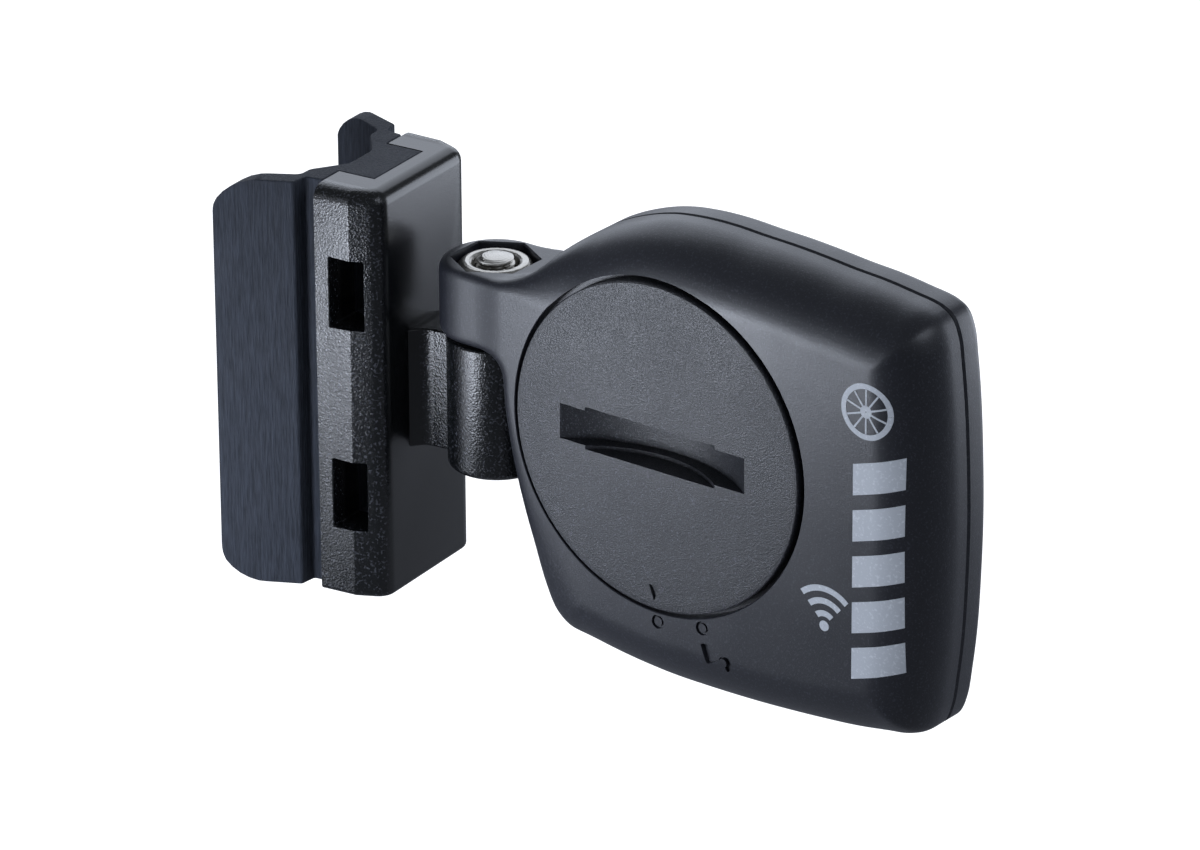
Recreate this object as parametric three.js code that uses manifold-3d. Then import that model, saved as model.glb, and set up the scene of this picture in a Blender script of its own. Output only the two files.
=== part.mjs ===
// Wireless wheel sensor of a cycling computer, with its pivoting fork bracket.
// Millimetres. +X runs from the fork towards the sensor head, +Z is up along the fork leg,
// and the battery cover faces -Y. The origin is the centre of the rubber pad's flat seat.

import * as THREE from 'three';
import { mergeVertices } from 'three/addons/utils/BufferGeometryUtils.js';
import Module from 'manifold-3d';

const wasm = await Module();
wasm.setup();

// ---------------------------------------------------------------- driving dimensions

const BRACKET = {
  halfHeight: 16.7,
  hingeFaceX: 5.6,
  hingeFaceHalf: 4.7,
  cornerMid: [5.3, 5.5],
  cornerEnd: [4.7, 6.0],
  shoulder: [3.2, 6.8],
  wallOuter: [0.25, 7.05],
  wallInner: [0.2, 3.45],
  floorX: 3.4,
  floorHalf: 3.35,
  edge: 0.5,
};
const TIE_SLOT = { x0: 1.4, x1: 4.25, halfHeight: 2.85, z: 8.3 };
const HINGE = {
  x: 12.0,
  lugRadius: 3.83,
  lugBottom: -5.8,
  lugTop: 4.75,
  boreRadius: 1.6,
  seatRadius: 3.0,
  seatDepth: 2.5,
  webBottom: -5.2,
  webTop: 4.5,
  webTipHalf: 2.5,
  webNeckHalf: 1.5,
  webNeckX: 8.2,
};
const KNUCKLE = { radius: 4.3, armHalf: 4.15, bottom: 5.0, top: 11.0 };
const NUT = { acrossFlats: 5.5, pocketAcrossFlats: 5.98, bottom: 8.4, height: 2.4, gap: 0.12 };
const SCREW = { radius: 1.5, headRadius: 2.7, headHeight: 2.0, end: 11.2, crossWidth: 0.75 };
const HEAD = {
  turn: THREE.MathUtils.degToRad(-5.7),
  frontY: -4.2,
  seamY: 1.4,
  backY: 4.0,
  wall: 1.4,
  backWall: 1.2,
  seamGap: 0.2,
  domeRadius: 4.5,
  leftRadius: 0.8,
  backRadius: 0.9,
  centreX: 34.5,
  armRootX: 17.6,
  lugClearance: 4.3,
};
const COVER = {
  x: 30.5,
  z: 1.6,
  faceY: -4.5,
  radius: 13.0,
  thickness: 1.3,
  skirtOuter: 11.9,
  skirtInner: 10.7,
  skirtEndY: -1.1,
  openAngle: 16.9,
};
const BAY = {
  mouthRadius: 13.47,
  ledgeY: -3.1,
  sealRadius: 12.75,
  cellLedgeY: -1.0,
  cellRadius: 10.3,
  endY: 2.6,
  wall: 1.0,
};
const COIN_SLOT = { x0: -8.95, x1: 8.2, width: 2.85, floorRadius: 14.0, depth: 2.95, wall: 0.7 };
const BAYONET = {
  count: 3,
  width: THREE.MathUtils.degToRad(12),
  first: THREE.MathUtils.degToRad(30),
  lugRadius: 12.5,
  lugY0: -1.65,
  catchRadius: 12.05,
  catchY0: -2.4,
  catchY1: -1.8,
};
const CELL = { radius: 10.0, frontY: -0.75, backY: 2.45, skin: 0.3, capRadius: 8.8 };
const SEAL = { ringRadius: 12.35, sectionRadius: 0.3, y: -2.8 };
const BOARD = { x0: 43.2, x1: 51.2, halfHeight: 12, frontY: 1.2, backY: 2.0 };
const BOARD_SCREW = { x: 45.6, z: 10.0, headRadius: 1.1, radius: 0.6, endY: 3.2 };
const REED = { x: 49.8, y: 0.0, glassRadius: 0.95, half: 5.0, leadRadius: 0.25, footZ: 8.5 };

// ---------------------------------------------------------------- solids and meshes

// Turns a closed three.js geometry into a solid that can be joined and cut.
function solid(geometry) {
  const bare = geometry.clone();
  bare.deleteAttribute('normal');
  bare.deleteAttribute('uv');
  const merged = mergeVertices(bare, 1e-4);
  return new wasm.Manifold(new wasm.Mesh({
    numProp: 3,
    vertProperties: new Float32Array(merged.attributes.position.array),
    triVerts: new Uint32Array(merged.index.array),
  }));
}

// Gives a solid back as a three.js geometry with flat shading normals.
function geometryOf(shape) {
  const mesh = shape.getMesh();
  const geometry = new THREE.BufferGeometry();
  geometry.setAttribute('position', new THREE.BufferAttribute(mesh.vertProperties, 3));
  geometry.setIndex(new THREE.BufferAttribute(mesh.triVerts, 1));
  geometry.computeVertexNormals();
  return geometry;
}

const unite = (first, ...others) => others.reduce((sum, next) => sum.add(next), first);
const cut = (first, ...others) => others.reduce((rest, next) => rest.subtract(next), first);

function box(x0, x1, y0, y1, z0, z1) {
  const geometry = new THREE.BoxGeometry(x1 - x0, y1 - y0, z1 - z0);
  geometry.translate((x0 + x1) / 2, (y0 + y1) / 2, (z0 + z1) / 2);
  return solid(geometry);
}

// A round bar along Z from z0 to z1.
function barZ(x, y, radius, z0, z1, sides = 32) {
  const geometry = new THREE.CylinderGeometry(radius, radius, z1 - z0, sides);
  geometry.rotateX(Math.PI / 2);
  geometry.translate(x, y, (z0 + z1) / 2);
  return solid(geometry);
}

// A round bar along Y from y0 to y1.
function barY(x, z, radius, y0, y1, sides = 48) {
  const geometry = new THREE.CylinderGeometry(radius, radius, y1 - y0, sides);
  geometry.translate(x, (y0 + y1) / 2, z);
  return solid(geometry);
}

// A hexagonal bar along Z, with two of its flats facing +X and -X.
function hexZ(x, acrossFlats, z0, z1) {
  const radius = acrossFlats / Math.sqrt(3);
  const geometry = new THREE.CylinderGeometry(radius, radius, z1 - z0, 6);
  geometry.rotateX(Math.PI / 2);
  geometry.translate(x, 0, (z0 + z1) / 2);
  return solid(geometry);
}

// Turns a profile of [radius, height] points about the Y axis, standing at (x, z).
function turnedY(x, z, profile, segments = 48) {
  const points = profile.map(([radius, y]) => new THREE.Vector2(radius, y));
  const geometry = new THREE.LatheGeometry(points, segments);
  geometry.translate(x, 0, z);
  return solid(geometry);
}

// The same about the Z axis, standing at (x, y).
function turnedZ(x, y, profile, segments = 32) {
  const points = profile.map(([radius, z]) => new THREE.Vector2(radius, z));
  const geometry = new THREE.LatheGeometry(points, segments);
  geometry.rotateX(Math.PI / 2);
  geometry.translate(x, y, 0);
  return solid(geometry);
}

// Extrudes a plan outline (x, y) from z0 to z1, with an optional small edge bevel.
function plateZ(shape, z0, z1, edge = 0) {
  const geometry = new THREE.ExtrudeGeometry(shape, {
    depth: z1 - z0 - 2 * edge,
    curveSegments: 8,
    bevelEnabled: edge > 0,
    bevelSize: edge,
    bevelThickness: edge,
    bevelOffset: -edge,
    bevelSegments: 2,
  });
  geometry.translate(0, 0, z0 + edge);
  return solid(geometry);
}

// Extrudes an outline in the head's plane (x, z) from y0 to y1.
function plateY(shape, y0, y1) {
  const geometry = new THREE.ExtrudeGeometry(shape, {
    depth: y1 - y0,
    curveSegments: 12,
    bevelEnabled: false,
  });
  geometry.rotateX(Math.PI / 2);
  geometry.translate(0, y1, 0);
  return solid(geometry);
}

// A ring sector about the battery cover's axis, used for bayonet lugs and catches.
function sectorY(inner, outer, middle, width, y0, y1) {
  const shape = new THREE.Shape();
  shape.absarc(COVER.x, COVER.z, outer, middle - width / 2, middle + width / 2, false);
  shape.absarc(COVER.x, COVER.z, inner, middle + width / 2, middle - width / 2, true);
  shape.closePath();
  return plateY(shape, y0, y1);
}

// Skins a stack of rings, from the largest y to the smallest, and closes both ends with a fan.
function loft(rings) {
  const count = rings[0].length;
  const positions = rings.flat().flatMap((p) => [p.x, p.y, p.z]);
  const index = [];
  for (let k = 0; k + 1 < rings.length; k += 1) {
    for (let i = 0; i < count; i += 1) {
      const a = k * count + i;
      const b = k * count + ((i + 1) % count);
      index.push(a, b + count, b, a, a + count, b + count);
    }
  }
  const addFan = (ring, start, flip) => {
    const middle = ring.reduce((sum, p) => sum.add(p), new THREE.Vector3()).divideScalar(count);
    const hub = positions.length / 3;
    positions.push(middle.x, middle.y, middle.z);
    for (let i = 0; i < count; i += 1) {
      const a = start + i;
      const b = start + ((i + 1) % count);
      index.push(...(flip ? [hub, b, a] : [hub, a, b]));
    }
  };
  addFan(rings[0], 0, false);
  addFan(rings[rings.length - 1], (rings.length - 1) * count, true);
  const geometry = new THREE.BufferGeometry();
  geometry.setAttribute('position', new THREE.Float32BufferAttribute(positions, 3));
  geometry.setIndex(index);
  return solid(geometry);
}

// ---------------------------------------------------------------- the head's outline

// Outline of the head at the seam, in (x, z), running clockwise seen from the front.
function headOutline() {
  const path = new THREE.Path();
  const points = (pairs) => pairs.map(([x, z]) => new THREE.Vector2(x, z));
  path.moveTo(15.75, 3.5);
  path.lineTo(15.9, 9.9);
  path.splineThru(points([[17.3, 12.0], [19.4, 14.0], [22.3, 15.9], [27.9, 18.05], [33.0, 18.4]]));
  path.splineThru(points([[41.7, 17.95], [51.0, 16.95]]));
  path.quadraticCurveTo(53.7, 16.6, 53.9, 13.5);
  path.quadraticCurveTo(55.5, 0, 54.0, -14.0);
  path.quadraticCurveTo(53.8, -17.1, 51.0, -17.45);
  path.splineThru(points([[41.7, -18.2], [33.0, -18.5], [27.7, -18.1], [22.6, -17.2]]));
  path.quadraticCurveTo(19.4, -16.4, 18.5, -12.5);
  path.splineThru(points([[16.9, -5.0], [15.85, 0.9], [15.75, 3.5]]));
  return path.getSpacedPoints(OUTLINE_POINTS).slice(0, OUTLINE_POINTS);
}

const OUTLINE_POINTS = 72;
const outline = headOutline();

// How strongly each outline point is rounded: crisp beside the hinge, full everywhere else.
const roundness = outline.map((p) => THREE.MathUtils.smoothstep(p.x, 16.5, 23));

// One ring of the head at depth y, drawn in from the outline by a width per point. The points
// move towards the middle of the head, so that even a wide inset can't cross itself.
function headRing(inset, depth) {
  return outline.map((p, i) => {
    const before = outline[(i + OUTLINE_POINTS - 1) % OUTLINE_POINTS];
    const after = outline[(i + 1) % OUTLINE_POINTS];
    const normal = new THREE.Vector2(before.y - after.y, after.x - before.x).normalize();
    const ray = new THREE.Vector2(p.x - HEAD.centreX, p.y);
    const reach = ray.length();
    const slant = Math.max(normal.dot(ray) / reach, 0.72);
    const scale = 1 - inset(i) / (slant * reach);
    return new THREE.Vector3(HEAD.centreX + ray.x * scale, depth(i), ray.y * scale);
  });
}

// A body with the head's outline whose edge is rounded in a quarter circle towards capY.
function headBody(wallInset, openY, capY, radiusOf, steps = 4) {
  const side = Math.sign(openY - capY);
  const rings = [headRing(() => wallInset, () => openY)];
  for (let k = 0; k <= steps; k += 1) {
    const angle = (k / steps) * Math.PI / 2;
    rings.push(headRing(
      (i) => wallInset + radiusOf(i) * (1 - Math.cos(angle)),
      (i) => capY + side * radiusOf(i) * (1 - Math.sin(angle)),
    ));
  }
  if (side < 0) {
    rings.reverse();
  }
  return loft(rings);
}

const blendRadius = (i) => THREE.MathUtils.lerp(HEAD.leftRadius, HEAD.domeRadius, roundness[i]);

// ---------------------------------------------------------------- fork bracket

// Plan outline that is mirrored about the X axis from its points at positive y.
function mirrored(points) {
  const shape = new THREE.Shape();
  const lower = points.map(([x, y]) => [x, -y]);
  const upper = points.slice().reverse();
  [...lower, ...upper].forEach(([x, y], i) => (i === 0 ? shape.moveTo(x, y) : shape.lineTo(x, y)));
  shape.closePath();
  return shape;
}

// Space of both cable tie slots, right through the bracket along Y.
function tieSlots(grow = 0) {
  const [lower, upper] = [-TIE_SLOT.z, TIE_SLOT.z].map((z) => box(
    TIE_SLOT.x0 - grow, TIE_SLOT.x1, -9, 9,
    z - TIE_SLOT.halfHeight - grow, z + TIE_SLOT.halfHeight + grow,
  ));
  return unite(lower, upper);
}

// U-shaped channel, with a web and a lug that carries the hinge screw.
function bracketBody() {
  const channel = plateZ(mirrored([
    [BRACKET.floorX, BRACKET.floorHalf],
    BRACKET.wallInner,
    BRACKET.wallOuter,
    BRACKET.shoulder,
    BRACKET.cornerEnd,
    BRACKET.cornerMid,
    [BRACKET.hingeFaceX, BRACKET.hingeFaceHalf],
  ]), -BRACKET.halfHeight, BRACKET.halfHeight, BRACKET.edge);

  const { webTipHalf, webNeckHalf, webNeckX } = HINGE;
  const faceX = BRACKET.hingeFaceX;
  const web = new THREE.Shape();
  web.moveTo(faceX - 0.6, -webTipHalf);
  web.lineTo(faceX, -webTipHalf);
  web.quadraticCurveTo(faceX + 0.9, -webNeckHalf, webNeckX, -webNeckHalf);
  web.lineTo(HINGE.x, -webNeckHalf);
  web.lineTo(HINGE.x, webNeckHalf);
  web.lineTo(webNeckX, webNeckHalf);
  web.quadraticCurveTo(faceX + 0.9, webNeckHalf, faceX, webTipHalf);
  web.lineTo(faceX - 0.6, webTipHalf);
  web.closePath();

  const edge = 0.4;
  const lug = turnedZ(HINGE.x, 0, [
    [0, HINGE.lugBottom],
    [HINGE.lugRadius - edge, HINGE.lugBottom],
    [HINGE.lugRadius, HINGE.lugBottom + edge],
    [HINGE.lugRadius, HINGE.lugTop],
    [0, HINGE.lugTop],
  ], 40);
  return cut(
    unite(channel, plateZ(web, HINGE.webBottom, HINGE.webTop), lug),
    barZ(HINGE.x, 0, HINGE.boreRadius, HINGE.lugBottom - 1, HINGE.lugTop + 1),
    barZ(HINGE.x, 0, HINGE.seatRadius, HINGE.lugBottom - 1, HINGE.lugBottom + HINGE.seatDepth),
    tieSlots(),
  );
}

// Rubber cradle: a block that fills the channel, and two wings that hug the fork leg.
function rubberPad() {
  const gap = 0.15;
  const half = new THREE.Shape();
  half.moveTo(0, -1);
  half.lineTo(BRACKET.floorX - gap, -1);
  half.lineTo(BRACKET.floorX - gap, BRACKET.floorHalf - gap);
  half.lineTo(BRACKET.wallInner[0], BRACKET.wallInner[1] - gap);
  half.lineTo(BRACKET.wallInner[0] - gap, BRACKET.wallInner[1] + gap);
  half.lineTo(0.1, 5.5);
  half.lineTo(-1.3, 5.7);
  half.lineTo(-1.6, 7.0);
  half.lineTo(-6.8, 9.58);
  half.quadraticCurveTo(-7.9, 9.7, -7.8, 8.0);
  half.lineTo(-5.1, 7.0);
  half.lineTo(-2.6, 5.55);
  half.quadraticCurveTo(-2.0, 5.2, -2.0, 4.3);
  half.quadraticCurveTo(-1.9, 3.4, -0.7, 2.1);
  half.quadraticCurveTo(0, 1.6, 0, 1.4);
  half.closePath();
  const upperHalf = plateZ(half, -BRACKET.halfHeight, BRACKET.halfHeight);
  const cradle = unite(upperHalf, upperHalf.mirror([0, 1, 0]));

  // side view that rounds the wing tips at their top and bottom
  const tip = -7.7;
  const round = 3.7;
  const top = BRACKET.halfHeight;
  const side = new THREE.Shape();
  side.moveTo(6, -top);
  side.lineTo(6, top);
  side.lineTo(tip + round, top);
  side.absarc(tip + round, top - round, round, Math.PI / 2, Math.PI, false);
  side.absarc(tip + round, round - top, round, Math.PI, Math.PI * 1.5, false);
  side.closePath();
  return cut(cradle.intersect(plateY(side, -12, 12)), tieSlots(0.1));
}

// ---------------------------------------------------------------- hinge fasteners

function pivotScrew() {
  const seatZ = HINGE.lugBottom + HINGE.seatDepth - 0.1;
  const headZ = seatZ - SCREW.headHeight;
  const body = turnedZ(HINGE.x, 0, [
    [0, headZ],
    [SCREW.headRadius - 0.6, headZ],
    [SCREW.headRadius, headZ + 0.6],
    [SCREW.headRadius, seatZ],
    [SCREW.radius, seatZ],
    [SCREW.radius, SCREW.end - 0.3],
    [SCREW.radius - 0.4, SCREW.end],
    [0, SCREW.end],
  ]);
  const arm = SCREW.headRadius * 0.62;
  const width = SCREW.crossWidth / 2;
  const depth = 1.2;
  return cut(
    body,
    box(HINGE.x - arm, HINGE.x + arm, -width, width, headZ - 1, headZ + depth),
    box(HINGE.x - width, HINGE.x + width, -arm, arm, headZ - 1, headZ + depth),
  );
}

// Hexagon nut with both faces chamfered to a circle.
function pivotNut() {
  const top = NUT.bottom + NUT.height;
  const corner = NUT.acrossFlats / Math.sqrt(3) + 0.05;
  const flat = NUT.acrossFlats / 2 - 0.05;
  const chamfer = 0.3;
  const envelope = turnedZ(HINGE.x, 0, [
    [0, NUT.bottom],
    [flat, NUT.bottom],
    [corner, NUT.bottom + chamfer],
    [corner, top - chamfer],
    [flat, top],
    [0, top],
  ]);
  return cut(
    hexZ(HINGE.x, NUT.acrossFlats, NUT.bottom, top).intersect(envelope),
    barZ(HINGE.x, 0, SCREW.radius + 0.1, NUT.bottom - 1, top + 1),
  );
}

// ---------------------------------------------------------------- head housing

const seamFront = HEAD.seamY - HEAD.seamGap / 2;
const seamBack = HEAD.seamY + HEAD.seamGap / 2;
const backInnerY = HEAD.backY - HEAD.backWall;

// Arm between the hinge knuckle and the head, as a block grown by a clearance.
function armBlock(grow = 0) {
  const { bottom, top, armHalf } = KNUCKLE;
  return box(
    HINGE.x, HEAD.armRootX + grow,
    -armHalf - grow, armHalf + grow,
    bottom - grow, top + grow,
  );
}

// Space that the bracket's lug needs as the head swings: the housing is hollowed round it.
function lugSpace() {
  return barZ(HINGE.x, 0, HEAD.lugClearance, -20, KNUCKLE.bottom, 64);
}

// Opening in the battery bay's wall that lets both contacts out to the board.
function contactWindow() {
  return box(COVER.x + BAY.cellRadius - 1, COVER.x + BAY.cellRadius + 2.5, 0.2, BAY.endY + 1, -3, 6);
}

function frontShell() {
  const { x, z } = COVER;
  const { wall } = BAY;
  const outer = headBody(0, seamFront, HEAD.frontY, blendRadius);
  const innerRadius = (i) => Math.max(blendRadius(i) - HEAD.wall, 0.5);
  const hollow = headBody(HEAD.wall, seamFront + 1, HEAD.frontY + HEAD.wall, innerRadius);
  const bayBody = unite(
    barY(x, z, BAY.mouthRadius + wall, HEAD.frontY, BAY.ledgeY + 0.8),
    barY(x, z, BAY.sealRadius + wall, BAY.ledgeY, BAY.cellLedgeY + 0.8),
    barY(x, z, BAY.cellRadius + wall, BAY.cellLedgeY, BAY.endY),
  );
  const cavity = hollow.subtract(bayBody);
  const rim = barY(x, z, BAY.cellRadius + wall, seamFront - 1, BAY.endY);
  const knuckle = barZ(HINGE.x, 0, KNUCKLE.radius, KNUCKLE.bottom, KNUCKLE.top, 40);
  const shell = unite(cut(outer, cavity), rim, armBlock(), knuckle);
  const bored = cut(
    shell,
    barY(x, z, BAY.mouthRadius, HEAD.frontY - 1, BAY.ledgeY, 64),
    barY(x, z, BAY.sealRadius, BAY.ledgeY - 0.1, BAY.cellLedgeY, 64),
    barY(x, z, BAY.cellRadius, BAY.cellLedgeY - 0.1, BAY.endY + 1, 64),
    contactWindow(),
    lugSpace(),
    barZ(HINGE.x, 0, HINGE.boreRadius, KNUCKLE.bottom - 1, NUT.bottom),
    hexZ(HINGE.x, NUT.pocketAcrossFlats, NUT.bottom - NUT.gap, KNUCKLE.top + 1),
    ...indexDots(),
  );
  return unite(bored, ...bayonetRing(BAYONET.catchRadius, BAY.sealRadius + 0.3,
    BAYONET.catchY0, BAYONET.catchY1));
}

// Two shallow dots beside the battery cover: locked below it, open a short turn further.
function indexDots() {
  const radius = BAY.mouthRadius + 0.75;
  return [0, COVER.openAngle].map((degrees) => {
    const turn = THREE.MathUtils.degToRad(degrees);
    const dotX = COVER.x + radius * Math.sin(turn);
    const dotZ = COVER.z - radius * Math.cos(turn);
    return barY(dotX, dotZ, 0.5, HEAD.frontY - 1, HEAD.frontY + 0.25, 12);
  });
}

function bayonetRing(inner, outer, y0, y1) {
  return Array.from({ length: BAYONET.count }, (_, k) => sectorY(
    inner, outer, BAYONET.first + (k * 2 * Math.PI) / BAYONET.count, BAYONET.width, y0, y1,
  ));
}

function backCover() {
  const outer = headBody(0, seamBack, HEAD.backY, () => HEAD.backRadius, 3);
  const hollow = headBody(HEAD.wall, seamBack - 1, backInnerY, () => 0.4, 1);
  const lipOuter = headBody(HEAD.wall + 0.15, seamBack - 0.9, backInnerY, () => 0.3, 1);
  const lipInner = headBody(HEAD.wall + 0.95, seamBack - 2, backInnerY + 0.01, () => 0.3, 1);
  const bosses = boardScrewPlaces().map(([x, z]) => barY(x, z, 1.4, BOARD.backY + 0.1, 3, 20));
  const pilots = boardScrewPlaces().map(([x, z]) => barY(x, z, 0.7, 1, BOARD_SCREW.endY + 0.2, 16));
  const tray = unite(cut(outer, hollow), cut(lipOuter, lipInner), ...bosses);
  return cut(tray, ...pilots, armBlock(0.2), lugSpace());
}

// ---------------------------------------------------------------- battery cover and cell

// Body of a coin slot: an arc-floored pocket, or the boss behind it when grown.
function coinSlot(grow) {
  const { x0, x1, width, floorRadius, depth } = COIN_SLOT;
  const half = width / 2 + grow;
  const middleX = COVER.x + (x0 + x1) / 2;
  const centreY = COVER.faceY + depth - floorRadius;
  return barZ(middleX, centreY, floorRadius + grow, COVER.z - half, COVER.z + half, 96);
}

// Small engraved pointer near the cover's lower edge.
function pointer() {
  const shape = new THREE.Shape();
  const tipZ = COVER.z - 12.0;
  shape.moveTo(COVER.x - 0.6, tipZ);
  shape.lineTo(COVER.x - 0.1, tipZ + 1);
  shape.lineTo(COVER.x - 1.1, tipZ + 1);
  shape.closePath();
  return plateY(shape, COVER.faceY - 1, COVER.faceY + 0.2);
}

function batteryCover() {
  const { x, z, faceY, radius, thickness, skirtOuter, skirtInner, skirtEndY } = COVER;
  const underside = faceY + thickness;
  const edge = 0.3;
  const disc = turnedY(x, z, [
    [0, faceY],
    [radius - edge, faceY],
    [radius, faceY + edge],
    [radius, underside],
    [skirtOuter, underside],
    [skirtOuter, skirtEndY],
    [skirtInner, skirtEndY],
    [skirtInner, underside],
    [0, underside],
  ], 64);
  const boss = coinSlot(COIN_SLOT.wall).intersect(
    box(x - 10, x + 10, faceY + 0.5, 1, z - 4, z + 4),
  );
  const lugs = bayonetRing(skirtOuter - 0.3, BAYONET.lugRadius, BAYONET.lugY0, skirtEndY);
  return cut(unite(disc, boss, ...lugs), coinSlot(0), pointer());
}

// O-ring that lies in the corner under the cover's flange.
function coverSeal() {
  const sides = 8;
  const profile = Array.from({ length: sides + 1 }, (_, k) => {
    const angle = (k % sides) * 2 * Math.PI / sides;
    return [
      SEAL.ringRadius + SEAL.sectionRadius * Math.cos(angle),
      SEAL.y + SEAL.sectionRadius * Math.sin(angle),
    ];
  });
  return turnedY(COVER.x, COVER.z, profile, 32);
}

// Positive can: a cup that opens towards the back cover.
function cellCan() {
  const { radius, frontY, backY, skin } = CELL;
  return turnedY(COVER.x, COVER.z, [
    [0, frontY],
    [radius - 0.3, frontY],
    [radius, frontY + 0.3],
    [radius, backY - 0.2],
    [radius - skin, backY - 0.2],
    [radius - skin, frontY + skin],
    [0, frontY + skin],
  ]);
}

// Negative cap, with the cell's filling as part of the same body.
function cellCap() {
  const { capRadius, frontY, backY, skin } = CELL;
  return turnedY(COVER.x, COVER.z, [
    [0, frontY + skin + 0.1],
    [capRadius, frontY + skin + 0.1],
    [capRadius, backY - 0.7],
    [capRadius - 0.5, backY - 0.1],
    [capRadius - 0.7, backY],
    [0, backY],
  ]);
}

function cellGasket() {
  const { radius, capRadius, frontY, backY, skin } = CELL;
  const inner = capRadius + 0.1;
  const outer = radius - skin - 0.1;
  return turnedY(COVER.x, COVER.z, [
    [inner, frontY + 1],
    [outer, frontY + 1],
    [outer, backY - 0.25],
    [inner, backY - 0.25],
    [inner, frontY + 1],
  ]);
}

// ---------------------------------------------------------------- contacts and board

// Spring leaf against the can's side, with a foot on the board's front face.
function positiveContact() {
  const leafX = COVER.x + CELL.radius + 0.2;
  const metal = 0.2;
  const leaf = box(leafX, leafX + metal, 0.4, 2.4, 2.4, 5.4);
  const foot = box(leafX, 45.0, BOARD.frontY - 0.3, BOARD.frontY - 0.1, 2.4, 5.4);
  return unite(leaf, foot);
}

// Spring strip that runs under the cell and steps up to the board's back face.
function negativeContact() {
  const shape = new THREE.Shape();
  const centre = COVER.x - 2;
  shape.moveTo(centre, 2.52);
  shape.lineTo(41.8, 2.52);
  shape.lineTo(43.0, 2.12);
  shape.lineTo(46.6, 2.12);
  shape.lineTo(46.6, 2.3);
  shape.lineTo(43.1, 2.3);
  shape.lineTo(41.9, 2.7);
  shape.lineTo(centre, 2.7);
  shape.closePath();
  return plateZ(shape, -2.2, 0.8);
}

function boardScrewPlaces() {
  return [[BOARD_SCREW.x, BOARD_SCREW.z], [BOARD_SCREW.x, -BOARD_SCREW.z]];
}

function circuitBoard() {
  const { x0, x1, halfHeight, frontY, backY } = BOARD;
  const holes = boardScrewPlaces().map(([x, z]) => barY(x, z, BOARD_SCREW.radius + 0.2, 0, 4, 16));
  const pads = [REED.footZ, -REED.footZ].map((z) => barY(REED.x, z, REED.leadRadius + 0.12, 0, 4, 10));
  return cut(box(x0, x1, frontY, backY, -halfHeight, halfHeight), ...holes, ...pads);
}

function boardScrew(place) {
  const [x, z] = place;
  const { headRadius, radius, endY } = BOARD_SCREW;
  const seat = BOARD.frontY - 0.05;
  const body = turnedY(x, z, [
    [0, seat - 0.7],
    [headRadius - 0.3, seat - 0.7],
    [headRadius, seat - 0.4],
    [headRadius, seat],
    [radius, seat],
    [radius, endY - 0.4],
    [0, endY],
  ], 20);
  const slot = box(x - 0.7, x + 0.7, seat - 1, seat - 0.35, z - 0.15, z + 0.15);
  return cut(body, slot);
}

// Glass tube with a small hole at each end for the reeds.
function reedGlass() {
  const { x, y, glassRadius, half, leadRadius } = REED;
  const bore = glassRadius - 0.3;
  const hole = leadRadius + 0.07;
  return turnedZ(x, y, [
    [hole, -half],
    [glassRadius - 0.3, -half],
    [glassRadius, 0.4 - half],
    [glassRadius, half - 0.4],
    [glassRadius - 0.3, half],
    [hole, half],
    [hole, half - 0.8],
    [bore, half - 1.3],
    [bore, 1.3 - half],
    [hole, 0.8 - half],
    [hole, -half],
  ], 20);
}

// One ferrous reed: a flat blade inside the glass, a lead outside and a foot in the board.
function reedLead(end) {
  const { x, y, half, leadRadius, footZ } = REED;
  const path = new THREE.CurvePath();
  const bend = 0.7;
  const at = (py, pz) => new THREE.Vector3(x, py, end * pz);
  path.add(new THREE.LineCurve3(at(y, half - 1.6), at(y, footZ - bend)));
  path.add(new THREE.QuadraticBezierCurve3(at(y, footZ - bend), at(y, footZ), at(y + bend, footZ)));
  path.add(new THREE.LineCurve3(at(y + bend, footZ), at(BOARD.backY + 0.15, footZ)));
  const section = new THREE.Shape();
  section.absarc(0, 0, leadRadius, 0, Math.PI * 2, false);
  const lead = solid(new THREE.ExtrudeGeometry(section, {
    steps: 18,
    curveSegments: 5,
    extrudePath: path,
  }));
  const side = 0.12 * end;
  const blade = box(x - 0.4, x + 0.4, y + side - 0.08, y + side + 0.08,
    Math.min(-end * 0.8, end * (half - 1.2)), Math.max(-end * 0.8, end * (half - 1.2)));
  return unite(lead, blade);
}

// A square-cornered component that stands a little off the board's front face.
function chip(x, z, sizeX, sizeZ, height) {
  const foot = BOARD.frontY - 0.05;
  return box(x - sizeX / 2, x + sizeX / 2, foot - height, foot, z - sizeZ / 2, z + sizeZ / 2);
}

// Flat package with a row of legs down two sides.
function microcontroller() {
  const x = 45.8;
  const z = -4.2;
  const body = chip(x, z, 3.4, 4.4, 0.9);
  const legs = [];
  for (let k = 0; k < 5; k += 1) {
    const legZ = z - 1.6 + k * 0.8;
    legs.push(chip(x, legZ, 4.8, 0.32, 0.3));
  }
  return unite(body, ...legs);
}

// Chip capacitor with two thicker metal ends.
function capacitor(x, z) {
  const middle = chip(x, z, 0.7, 1.4, 0.6);
  return unite(middle, chip(x, z - 0.65, 0.8, 0.35, 0.7), chip(x, z + 0.65, 0.8, 0.35, 0.7));
}

// Ceramic antenna with two end caps.
function chipAntenna() {
  const x = 47.0;
  const z = 7.2;
  return unite(chip(x, z, 1.8, 2.6, 0.8), chip(x, z - 1.2, 1.9, 0.4, 0.9), chip(x, z + 1.2, 1.9, 0.4, 0.9));
}

// Metal crystal can on a slightly wider base.
function crystal() {
  const x = 45.8;
  const z = -7.8;
  return unite(chip(x, z, 3.0, 1.4, 0.2), chip(x, z, 2.6, 1.1, 0.8));
}

// ---------------------------------------------------------------- assembly

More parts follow.
